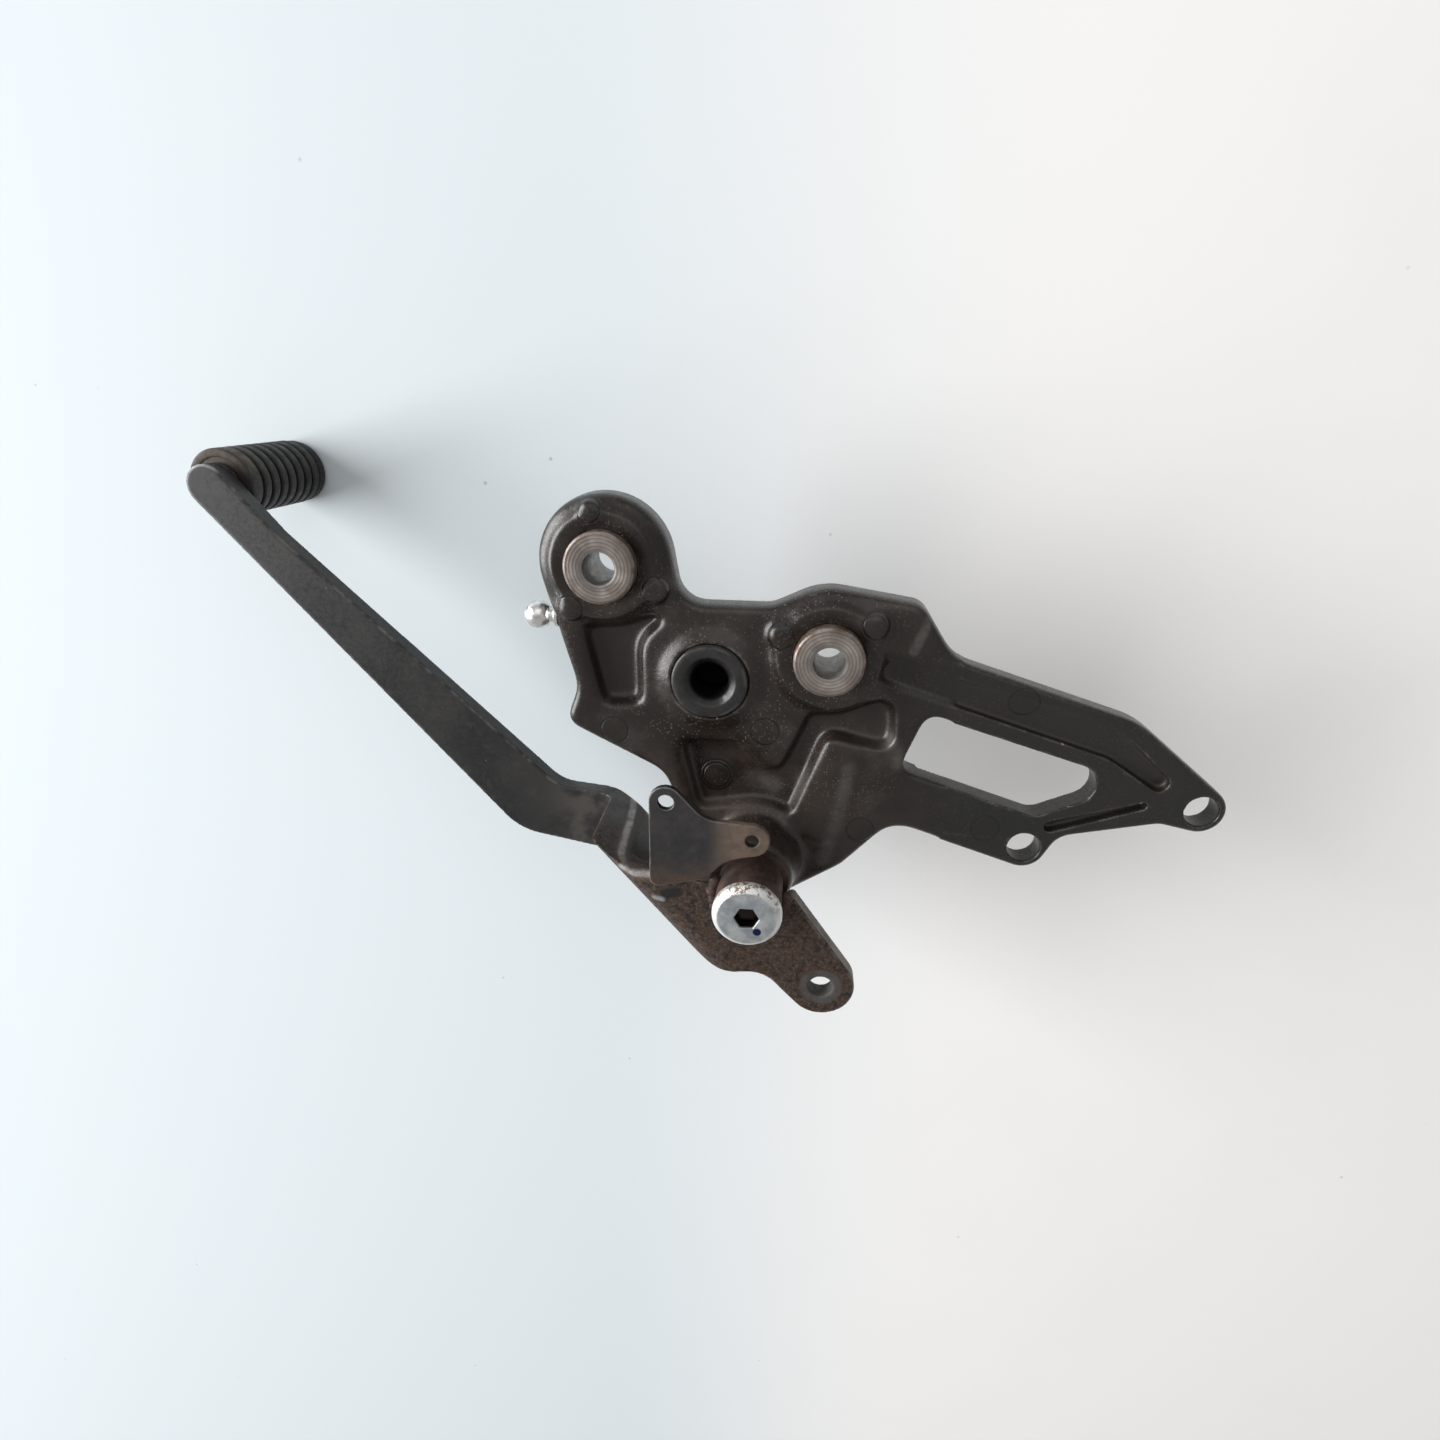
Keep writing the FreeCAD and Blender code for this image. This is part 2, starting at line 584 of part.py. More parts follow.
def casting_bores(body):
    """Bores for the collars, the pivot bolt, the rear eyes and the ball stud."""
    bores = flat_sketch(body, "bores", "pivot_rise")
    add_circle(bores, "0", "0", "collar_d / 2 + press_gap")
    add_circle(bores, "rear_x", "rear_y", "collar_d / 2 + press_gap")
    add_circle(bores, "centre_x", "centre_y", "centre_d / 2 + press_gap")
    add_circle(bores, "pivot_x", "pivot_y", "thread_d / 2 + press_gap")
    add_circle(bores, "lower_eye_x", "lower_eye_y", "eye_bore / 2")
    add_circle(bores, "tail_eye_x", "tail_eye_y", "eye_bore / 2")
    extrude(body, bores, "pivot_rise + seat_drop", cut=True)

    for name, radius, length, inward in (
        ("ball_seat", "ball_seat_r", "ball_seat_cut", False),
        ("ball_hole", "ball_thread_d / 2 + press_gap", "ball_thread_length", True),
    ):
        sketch = body.newObject("Sketcher::SketchObject", name)
        sketch.AttachmentSupport = [(origin_plane(body, "YZ_Plane"), "")]
        sketch.MapMode = "FlatFace"
        sketch.setExpression("AttachmentOffset.Base.z", bound("ball_face_x"))
        add_circle(sketch, "ball_y", "-plate_thick / 2", radius)
        extrude(body, sketch, length, cut=True, flip=inward)


def casting_marks(body):
    """Ejector pads beside the frame collars, and the bare disc in the lower pocket."""
    pads = flat_sketch(body, "pads", "-boss_root")
    for name, base in (
        ("pad_upper", None),
        ("pad_rear", None),
        ("pad_front", None),
        ("pad_saddle", "rear"),
        ("pad_horn", "rear"),
    ):
        add_circle(pads, *round_at(name, base))
    extrude(body, pads, "boss_root + boss_rise + pad_rise")

    disc = flat_sketch(body, "disc", "-lower_pocket_depth")
    add_circle(disc, *round_at("disc", "pivot"))
    extrude(body, disc, "disc_rise")


def bracket_casting():
    """Die-cast bracket with two frame bosses, a pivot lobe and a rear truss."""
    body = new_body("bracket_casting")
    casting_plate(body)
    casting_bosses(body)
    casting_hollows(body)
    casting_marks(body)
    casting_bores(body)
    return body


def frame_collar(label, x=None, y=None):
    """Turned steel collar, pressed into a frame boss and seated on both faces."""
    return turned_body(label, [
        ("collar_bore / 2", "-seat_drop"),
        ("collar_d / 2 - collar_bevel", "-seat_drop"),
        ("collar_d / 2", "-seat_drop + collar_bevel"),
        ("collar_d / 2", "collar_proud - collar_bevel"),
        ("collar_d / 2 - collar_bevel", "collar_proud"),
        ("collar_bore / 2", "collar_proud"),
    ], x, y)


def centre_collar():
    """Turned socket with a wide bevel and a blind bore."""
    return turned_body("centre_collar", [
        ("0", "-seat_drop"),
        ("centre_d / 2", "-seat_drop"),
        ("centre_d / 2", "centre_proud - collar_bevel"),
        ("centre_d / 2 - collar_bevel", "centre_proud"),
        ("centre_mouth_d / 2", "centre_proud"),
        ("centre_bore / 2", "centre_proud - centre_bevel_depth"),
        ("centre_bore / 2", "-seat_drop + centre_floor"),
        ("0", "-seat_drop + centre_floor"),
    ], "centre_x", "centre_y")


def ball_stud():
    """Screwed stud with a flange, a neck and a ball, out of the casting's front edge."""
    pieces = []
    for name, radius, height, level in (
        ("ball_thread", "ball_thread_d / 2", "ball_thread_length", "-ball_thread_length"),
        ("ball_flange", "ball_flange_d / 2", "ball_flange_thick", None),
        ("ball_neck", "ball_neck_d / 2", "ball_reach", None),
    ):
        cylinder = doc.addObject("Part::Cylinder", name)
        cylinder.setExpression("Radius", bound(radius))
        cylinder.setExpression("Height", bound(height))
        if level:
            cylinder.setExpression("Placement.Base.z", bound(level))
        pieces.append(cylinder)
    ball = doc.addObject("Part::Sphere", "ball")
    ball.setExpression("Radius", bound("ball_d / 2"))
    ball.setExpression("Placement.Base.z", bound("ball_reach"))
    stud = doc.addObject("Part::MultiFuse", "ball_stud")
    stud.Label = "ball_stud"
    stud.Shapes = pieces + [ball]
    forward = FreeCAD.Rotation(FreeCAD.Vector(0, 1, 0), -90)
    stud.Placement = FreeCAD.Placement(FreeCAD.Vector(), forward)
    stud.setExpression("Placement.Base.x", bound("ball_face_x"))
    stud.setExpression("Placement.Base.y", bound("ball_y"))
    stud.setExpression("Placement.Base.z", bound("-plate_thick / 2"))
    return stud


def pivot_bolt():
    """Shoulder bolt with a bevelled head, a hexagon socket and a thread in the boss."""
    head_r = "tube_d / 2 + head_lip"
    body = turned_body("pivot_bolt", [
        ("0", "pivot_rise - thread_length"),
        ("thread_d / 2", "pivot_rise - thread_length"),
        ("thread_d / 2", "pivot_rise"),
        ("shoulder_d / 2", "pivot_rise"),
        ("shoulder_d / 2", head_low),
        (head_r, head_low),
        (head_r, head_top + " - head_bevel"),
        (head_r + " - head_bevel", head_top),
        ("0", head_top),
    ], "pivot_x", "pivot_y")
    socket = flat_sketch(body, "socket", head_top)
    # Corners of a hexagon with flats at key_width: half width, and its share at 30 degrees.
    flat = "key_width * 0.5"
    corner = "key_width * 0.57735"
    half_corner = "key_width * 0.288675"
    add_polygon(socket, [
        (corner, "0"),
        (half_corner, flat),
        ("-" + half_corner, flat),
        ("-" + corner, "0"),
        ("-" + half_corner, "-" + flat),
        (half_corner, "-" + flat),
    ])
    extrude(body, socket, "key_depth", cut=True)
    return body


def pivot_washer():
    """Thrust washer on the shoulder, between the boss and the pivot tube."""
    washer_r = "tube_d / 2 + washer_lip"
    return turned_body("pivot_washer", [
        ("shoulder_d / 2 + running_gap", "pivot_rise"),
        (washer_r, "pivot_rise"),
        (washer_r, "pivot_rise + washer_thick"),
        ("shoulder_d / 2 + running_gap", "pivot_rise + washer_thick"),
    ], "pivot_x", "pivot_y")


def pivot_tube():
    """Tube welded into the pedal plate, running on the bolt's shoulder."""
    return turned_body("pivot_tube", [
        ("shoulder_d / 2 + running_gap", tube_low),
        ("tube_d / 2", tube_low),
        ("tube_d / 2", tube_top),
        ("shoulder_d / 2 + running_gap", tube_top),
    ], "pivot_x", "pivot_y")


def pedal_lever():
    """Stamped pedal: its plan outline, common with the joggled section of the plate."""
    plan = new_body("lever_plan")
    outline = flat_sketch(plan, "lever_outline", arm_low)
    add_belt(outline, [
        round_at("toe"),
        round_at("elbow_outer", "joggle"),
        round_at("arm_under", "joggle", -1),
        round_at("chin_low", "joggle"),
        round_at("clevis_throat", "clevis", -1),
        round_at("clevis"),
        ("pivot_x + tube_d / 2 + notch_rear_x", "pivot_y + notch_rear_y", "notch_rear_r"),
        ("pivot_x", "pivot_y", "-tube_d / 2 - weld_gap"),
        ("pivot_x - tube_d / 2 + notch_front_x", "pivot_y + notch_front_y", "notch_front_r"),
        round_at("joggle_dip", "joggle", -1),
        round_at("joggle_top", "joggle"),
        round_at("elbow_inner", "joggle", -1),
        round_at("toe_neck", "toe", -1),
    ])
    add_circle(outline, "clevis_x", "clevis_y", "clevis_bore / 2")
    extrude(plan, outline, "lever_offset + lever_thick")

    section = new_body("lever_section")
    strip = upright_sketch(section, "lever_strip")
    outer_bend = "bend_r + lever_thick"
    # The strip reaches past the plan outline on every side.
    reach = "clevis_x - toe_x"
    add_belt(strip, [
        ("toe_x - clevis_x", arm_low + " + lever_thick / 2", "lever_thick / 2"),
        ("-bend_r", arm_top + " + bend_r", outer_bend),
        (outer_bend, plate_low + " - bend_r", "-bend_r"),
        (reach, plate_low + " + lever_thick / 2", "lever_thick / 2"),
        (outer_bend, plate_low + " - bend_r", outer_bend),
        ("-bend_r", arm_top + " + bend_r", "-bend_r"),
    ])
    feature = extrude(section, strip, "clevis_x * 2 - toe_x * 2")
    feature.Midplane = True
    upward = FreeCAD.Vector(0, 0, 1)
    turn = FreeCAD.Rotation(upward, value("joggle_turn"))
    section.Placement = FreeCAD.Placement(FreeCAD.Vector(), turn)
    section.setExpression("Placement.Base.x", bound("joggle_x"))
    section.setExpression("Placement.Base.y", bound("joggle_y"))
    section.setExpression("Placement.Rotation.Angle", bound("joggle_turn"))

    lever = doc.addObject("Part::Common", "pedal_lever")
    lever.Label = "pedal_lever"
    lever.Base = plan
    lever.Tool = section
    return lever


def spring_plate():
    """Thin plate on the pedal with a return spring hole and a brake switch tongue."""
    body = new_body("spring_plate")
    ear_x, ear_y, ear_r = round_at("ear_rear", "pivot")
    switch_x, switch_y, switch_r = round_at("switch", "pivot")
    switch_y += " + tube_d / 2"
    outline = flat_sketch(body, "ear_outline", plate_top)
    add_belt(outline, [
        round_at("spring"),
        round_at("ear_low", "spring"),
        (ear_x + " - tube_d / 2", ear_y, ear_r),
        ("pivot_x", "pivot_y", "-tube_d / 2 - hook_gap"),
        (switch_x, switch_y, switch_r),
        (switch_x + " + ear_hollow_x", switch_y + " + ear_hollow_y", "-ear_hollow_r"),
    ])
    add_circle(outline, "spring_x", "spring_y", "spring_bore / 2")
    add_circle(outline, switch_x, switch_y, "switch_bore / 2")
    extrude(body, outline, "spring_thick")
    return body


def toe_pin():
    """Turned peg welded under the arm's end, with a shoulder and a core for the rubber."""
    return turned_body("toe_pin", [
        ("0", rubber_end + " + rubber_cap"),
        ("pin_d / 2", rubber_end + " + rubber_cap"),
        ("pin_d / 2", rubber_top),
        ("pin_shoulder_d / 2", rubber_top),
        ("pin_shoulder_d / 2", arm_low + " - press_gap"),
        ("0", arm_low + " - press_gap"),
    ], "toe_x", "toe_y")


def toe_rubber():
    """Moulded rubber sleeve with a closed end and ribs round it."""
    body = turned_body("toe_rubber", [
        ("0", rubber_end),
        ("rubber_d / 2 - rubber_round", rubber_end),
        ("rubber_d / 2", rubber_end + " + rubber_round"),
        ("rubber_d / 2", rubber_top),
        ("pin_d / 2 + press_gap", rubber_top),
        ("pin_d / 2 + press_gap", rubber_end + " + rubber_cap"),
        ("0", rubber_end + " + rubber_cap"),
    ], "toe_x", "toe_y")
    groove = upright_sketch(body, "rib_groove")
    middle = rubber_end + " + rib_pitch"
    add_polygon(groove, [
        ("rubber_d / 2 - groove_depth", middle),
        ("rubber_d / 2 + groove_depth", middle + " - groove_width"),
        ("rubber_d / 2 + groove_depth", middle + " + groove_width"),
    ])
    first = revolve(body, groove, cut=True)
    doc.recompute()
    row = body.newObject("PartDesign::LinearPattern", "rib_row")
    row.Originals = [first]
    row.Direction = (groove, ["V_Axis"])
    row.setExpression("Length", bound("rib_run - rib_pitch"))
    row.Occurrences = round(value("rib_run") / value("rib_pitch"))
    body.Tip = row
    return body


nodes = [
    bracket_casting(),
    frame_collar("front_frame_collar"),
    frame_collar("rear_frame_collar", "rear_x", "rear_y"),
    centre_collar(),
    ball_stud(),
    pivot_bolt(),
    pivot_washer(),
    pedal_lever(),
    pivot_tube(),
    spring_plate(),
    toe_pin(),
    toe_rubber(),
]
doc.recompute()

for item in doc.Objects:
    if "Invalid" in item.State or "Error" in item.State:
        raise RuntimeError("failed: " + item.Label)
for node in nodes:
    if node.Shape.isNull() or not node.Shape.isValid():
        raise RuntimeError("no valid shape: " + node.Label)

os.makedirs("parts", exist_ok=True)
for node in nodes:
    node.Shape.exportStep("parts/" + node.Label + ".step")
    box = node.Shape.BoundBox
    print("%-20s %9.0f mm3  X %7.1f %7.1f  Y %7.1f %7.1f  Z %6.1f %6.1f" % (
        node.Label, node.Shape.Volume,
        box.XMin, box.XMax, box.YMin, box.YMax, box.ZMin, box.ZMax))
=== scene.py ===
import math
import bmesh
import bpy
import numpy as np
from mathutils import Matrix, Vector


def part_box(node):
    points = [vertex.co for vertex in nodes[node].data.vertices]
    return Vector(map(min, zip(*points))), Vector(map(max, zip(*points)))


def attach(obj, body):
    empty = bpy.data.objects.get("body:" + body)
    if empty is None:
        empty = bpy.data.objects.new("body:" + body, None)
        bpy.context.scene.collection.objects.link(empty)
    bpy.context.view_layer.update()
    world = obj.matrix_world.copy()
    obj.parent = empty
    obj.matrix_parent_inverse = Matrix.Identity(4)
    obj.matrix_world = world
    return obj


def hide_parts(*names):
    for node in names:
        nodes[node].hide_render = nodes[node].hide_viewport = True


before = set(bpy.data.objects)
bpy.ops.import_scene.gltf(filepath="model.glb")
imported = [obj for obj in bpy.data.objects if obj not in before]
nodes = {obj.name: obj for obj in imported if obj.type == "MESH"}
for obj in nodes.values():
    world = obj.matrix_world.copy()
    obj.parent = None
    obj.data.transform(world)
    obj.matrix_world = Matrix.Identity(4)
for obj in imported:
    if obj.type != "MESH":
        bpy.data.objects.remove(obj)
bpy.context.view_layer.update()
scene = bpy.context.scene
mm = 0.001


def middle(node):
    low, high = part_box(node)
    return (low + high) / 2


# A range that counts from a place on the part
def span(origin, limits):
    return [origin + limit for limit in limits]


pivot = middle("pivot_tube")
toe = middle("toe_rubber")
frontBolt = middle("front_frame_collar")
rearBolt = middle("rear_frame_collar")
centreSocket = middle("centre_collar")
print("frame loaded:", len(nodes), "nodes")


# One shader graph with short calls for the textures that the finishes share
class Finish:
    def __init__(self, name, roughness=0.5, metallic=0.0, specular=0.5):
        self.material = bpy.data.materials.new(name)
        self.material.use_nodes = True
        self.tree = self.material.node_tree
        self.shader = self.tree.nodes["Principled BSDF"]
        self.shader.inputs["Roughness"].default_value = roughness
        self.shader.inputs["Metallic"].default_value = metallic
        self.shader.inputs["Specular IOR Level"].default_value = specular
        self.place = self.add("ShaderNodeTexCoord").outputs["Object"]

    def add(self, kind):
        return self.tree.nodes.new(kind)

    def put(self, socket, value):
        if isinstance(value, bpy.types.NodeSocket):
            self.tree.links.new(value, socket)
        elif socket.type == "RGBA":
            socket.default_value = (*value, 1.0)
        else:
            socket.default_value = value

    def noise(self, scale, detail, roughness=0.55):
        node = self.add("ShaderNodeTexNoise")
        self.put(node.inputs["Vector"], self.place)
        node.inputs["Scale"].default_value = scale
        node.inputs["Detail"].default_value = detail
        node.inputs["Roughness"].default_value = roughness
        return node.outputs["Fac"]

    # Noise cut to patches: the last numbers are those of a ramp
    def patches(self, scale, detail, roughness, *limits):
        return self.ramp(self.noise(scale, detail, roughness), *limits)

    # Scattered round specks: scale sets their number, share how many of the cells hold one
    def specks(self, scale, size, share, threshold=0.01, core=0.5):
        node = self.add("ShaderNodeTexVoronoi")
        self.put(node.inputs["Vector"], self.place)
        node.inputs["Scale"].default_value = scale
        split = self.add("ShaderNodeSeparateColor")
        self.put(split.inputs["Color"], node.outputs["Color"])
        held = self.ramp(split.outputs["Red"], 1.0 - share - threshold, 1.0 - share)
        return self.product(held, self.fade(node.outputs["Distance"], size * core, size))

    def ramp(self, value, low, high, start=0.0, end=1.0):
        node = self.add("ShaderNodeMapRange")
        node.interpolation_type = "SMOOTHSTEP"
        for socket, number in zip(node.inputs, (value, low, high, start, end)):
            self.put(socket, number)
        return node.outputs["Result"]

    # Full below the range and gone above it
    def fade(self, value, low, high):
        return self.ramp(value, low, high, 1.0, 0.0)

    def math(self, operation, first, second=0.0):
        node = self.add("ShaderNodeMath")
        node.operation = operation
        self.put(node.inputs[0], first)
        self.put(node.inputs[1], second)
        return node.outputs["Value"]

    def waves(self, value, rate):
        return self.math("SINE", self.math("MULTIPLY", value, rate))

    def vector(self, operation, first, second=None):
        node = self.add("ShaderNodeVectorMath")
        node.operation = operation
        self.put(node.inputs[0], first)
        if second is not None:
            self.put(node.inputs[1], second)
        return node

    def product(self, *values):
        result = values[0]
        for value in values[1:]:
            result = self.math("MULTIPLY", result, value)
        return result

    def most(self, *values):
        result = values[0]
        for value in values[1:]:
            result = self.math("MAXIMUM", result, value)
        return result

    # A level that the mask lowers by up to the given loss
    def lowered(self, level, mask, loss):
        return self.math("SUBTRACT", level, self.product(mask, loss))

    def mix(self, share, first, second):
        node = self.add("ShaderNodeMix")
        node.data_type = "RGBA"
        self.put(node.inputs["Factor"], share)
        self.put(node.inputs[6], first)   # A and B of a colour mix
        self.put(node.inputs[7], second)
        return node.outputs[2]

    # A layer is a colour and how much of it covers where the mask is full
    def paint(self, mask, below, layer):
        colour, share = layer
        return self.mix(self.product(mask, share), below, colour)

    def axis(self, name):
        node = self.add("ShaderNodeSeparateXYZ")
        self.put(node.inputs["Vector"], self.place)
        return node.outputs[name]

    # Distance from an upright axis through a point
    def reach(self, point):
        flat = self.vector("MULTIPLY", self.place, (1, 1, 0)).outputs["Vector"]
        return self.vector("DISTANCE", flat, (point[0], point[1], 0)).outputs["Value"]

    # Soft round spot, full inside the first radius and gone at the second, in millimetres
    def spot(self, x, y, inner, outer):
        return self.fade(self.reach((x * mm, y * mm)), inner * mm, outer * mm)

    # Narrow ring marks round upright axes, as (x, y, radius) in millimetres
    def rings(self, places, width):
        marks = []
        for x, y, radius in places:
            offset = self.math("SUBTRACT", self.reach((x * mm, y * mm)), radius * mm)
            marks.append(self.fade(self.math("ABSOLUTE", offset), 0.0, width * mm))
        return self.most(*marks)

    # Soft stroke along a path of (x, y, z) points in millimetres
    def stroke(self, path, inner, outer):
        marks = []
        for start, end in zip(path, path[1:]):
            along = (Vector(end) - Vector(start)) * mm
            offset = self.vector("SUBTRACT", self.place, Vector(start) * mm).outputs["Vector"]
            share = self.vector("DOT_PRODUCT", offset, along / along.length_squared).outputs["Value"]
            share = self.math("MINIMUM", self.math("MAXIMUM", share, 0.0), 1.0)
            reached = self.vector("SCALE", along)
            self.put(reached.inputs["Scale"], share)
            gap = self.vector("DISTANCE", offset, reached.outputs["Vector"]).outputs["Value"]
            marks.append(self.fade(gap, inner * mm, outer * mm))
        return self.most(*marks)

    def stored(self, name):
        node = self.add("ShaderNodeAttribute")
        node.attribute_name = name
        return node.outputs["Fac"]

    def bump(self, height, strength, depth, under=None):
        node = self.add("ShaderNodeBump")
        node.inputs["Strength"].default_value = strength
        node.inputs["Distance"].default_value = depth
        self.put(node.inputs["Height"], height)
        if under:
            self.put(node.inputs["Normal"], under)
        return node.outputs["Normal"]

    def finish(self, colour, roughness=None, metallic=None, specular=None, normal=None):
        self.put(self.shader.inputs["Base Color"], colour)
        given = {
            "Roughness": roughness,
            "Metallic": metallic,
            "Specular IOR Level": specular,
            "Normal": normal,
        }
        for name, value in given.items():
            if value is not None:
                self.put(self.shader.inputs[name], value)
        return self.material


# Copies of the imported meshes: how they are merged, smoothed and bevelled
copies = {
    "mergeGap": 0.001 * mm,
    "smoothFactor": 0.5,
    "reliefSpread": 2,
    "flatAngle": math.radians(0.5),
    "bevelSegments": 2,
    "bevelAngle": math.radians(35),
    "sharpAngle": math.radians(32),
}


def plainMesh(piece):
    bpy.context.view_layer.update()
    graph = bpy.context.evaluated_depsgraph_get()
    mesh = bpy.data.meshes.new_from_object(piece.evaluated_get(graph))
    piece.modifiers.clear()
    piece.data = mesh
    return piece


def shadeSmooth(mesh):
    mesh.polygons.foreach_set("use_smooth", [True] * len(mesh.polygons))


def mergedCopy(node, name):
    mesh = nodes[node].data.copy()
    work = bmesh.new()
    work.from_mesh(mesh)
    bmesh.ops.remove_doubles(work, verts=work.verts, dist=copies["mergeGap"])
    work.to_mesh(mesh)
    work.free()
    piece = bpy.data.objects.new(name, mesh)
    scene.collection.objects.link(piece)
    return piece


# A finished piece takes its material, its place on a body, and the CAD nodes that it stands for
def settle(piece, body, slot, material, *stoodFor):
    piece.data.materials.clear()
    piece.data.materials.append(material)
    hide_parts(*stoodFor)
    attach(piece, body)


# Vectors of a mesh's points, by the name of their property
def pointVectors(mesh, name):
    values = np.zeros(len(mesh.vertices) * 3)
    mesh.vertices.foreach_get(name, values)
    return values.reshape(-1, 3)


# Convexity of each point from its neighbours: positive on ridges, negative in hollows
def storeRelief(mesh, spread):
    count = len(mesh.vertices)
    points = pointVectors(mesh, "co")
    normals = pointVectors(mesh, "normal")
    edges = np.zeros(len(mesh.edges) * 2, dtype=np.int64)
    mesh.edges.foreach_get("vertices", edges)
    start, end = edges.reshape(-1, 2).T
    degree = np.bincount(start, minlength=count) + np.bincount(end, minlength=count)
    degree = np.maximum(degree, 1)

    def neighbourMean(field):
        columns = []
        for column in field.T:
            total = np.bincount(start, column[end], count) + np.bincount(end, column[start], count)
            columns.append(total / degree)
        return np.array(columns).T

    step = points - neighbourMean(points)
    for _ in range(spread):
        step = (step + neighbourMean(step)) / 2
    relief = np.einsum("ij,ij->i", step, normals) / mm
    upright = 1.0 - np.abs(normals[:, 2])
    for name, values in (("ridge", relief), ("hollow", -relief), ("wall", upright)):
        layer = mesh.attributes.new(name, "FLOAT", "POINT")
        layer.data.foreach_set("value", np.clip(values, 0.0, None).astype(np.float32))


# Points of the casting's outer face in front of the truss, clear of the collars and the socket
def reliefPoints(mesh):
    points = pointVectors(mesh, "co")
    chosen = (points[:, 2] > casting["reliefFloor"]) & (points[:, 0] < casting["reliefEnd"])
    clearings = (
        (frontBolt, casting["collarClear"]),
        (rearBolt, casting["collarClear"]),
        (centreSocket, casting["socketClear"]),
    )
    for centre, radius in clearings:
        chosen &= np.hypot(points[:, 0] - centre.x, points[:, 1] - centre.y) > radius
    return np.nonzero(chosen)[0].tolist()


def soften(piece, steps, group=""):
    smooth = piece.modifiers.new("smooth", "SMOOTH")
    smooth.factor = copies["smoothFactor"]
    smooth.iterations = steps
    smooth.vertex_group = group
    plainMesh(piece)


def roundedSkin(node, name, sizes):
    piece = mergedCopy(node, name)
    remesh = piece.modifiers.new("remesh", "REMESH")
    remesh.mode = "VOXEL"
    remesh.voxel_size = sizes["voxel"]
    soften(piece, sizes["smoothing"])
    if "reliefSmoothing" in sizes:
        group = piece.vertex_groups.new(name="relief")
        group.add(reliefPoints(piece.data), 1.0, "REPLACE")
        soften(piece, sizes["reliefSmoothing"], "relief")
    count = 2 * len(piece.data.polygons)   # A voxel mesh has four-sided faces
    if count > sizes["triangles"]:
        thin = piece.modifiers.new("thin", "DECIMATE")
        thin.ratio = sizes["triangles"] / count
        plainMesh(piece)
    shadeSmooth(piece.data)
    storeRelief(piece.data, copies["reliefSpread"])
    return piece


# In the dictionaries below, patches are (scale, detail, roughness, then a ramp), specks are (scale,
# size, share), a layer of paint is (colour, share), and a bump is (strength, depth). A spot is (x, y,
# inner radius, outer radius). Painted spots, rings and strokes are in millimetres.

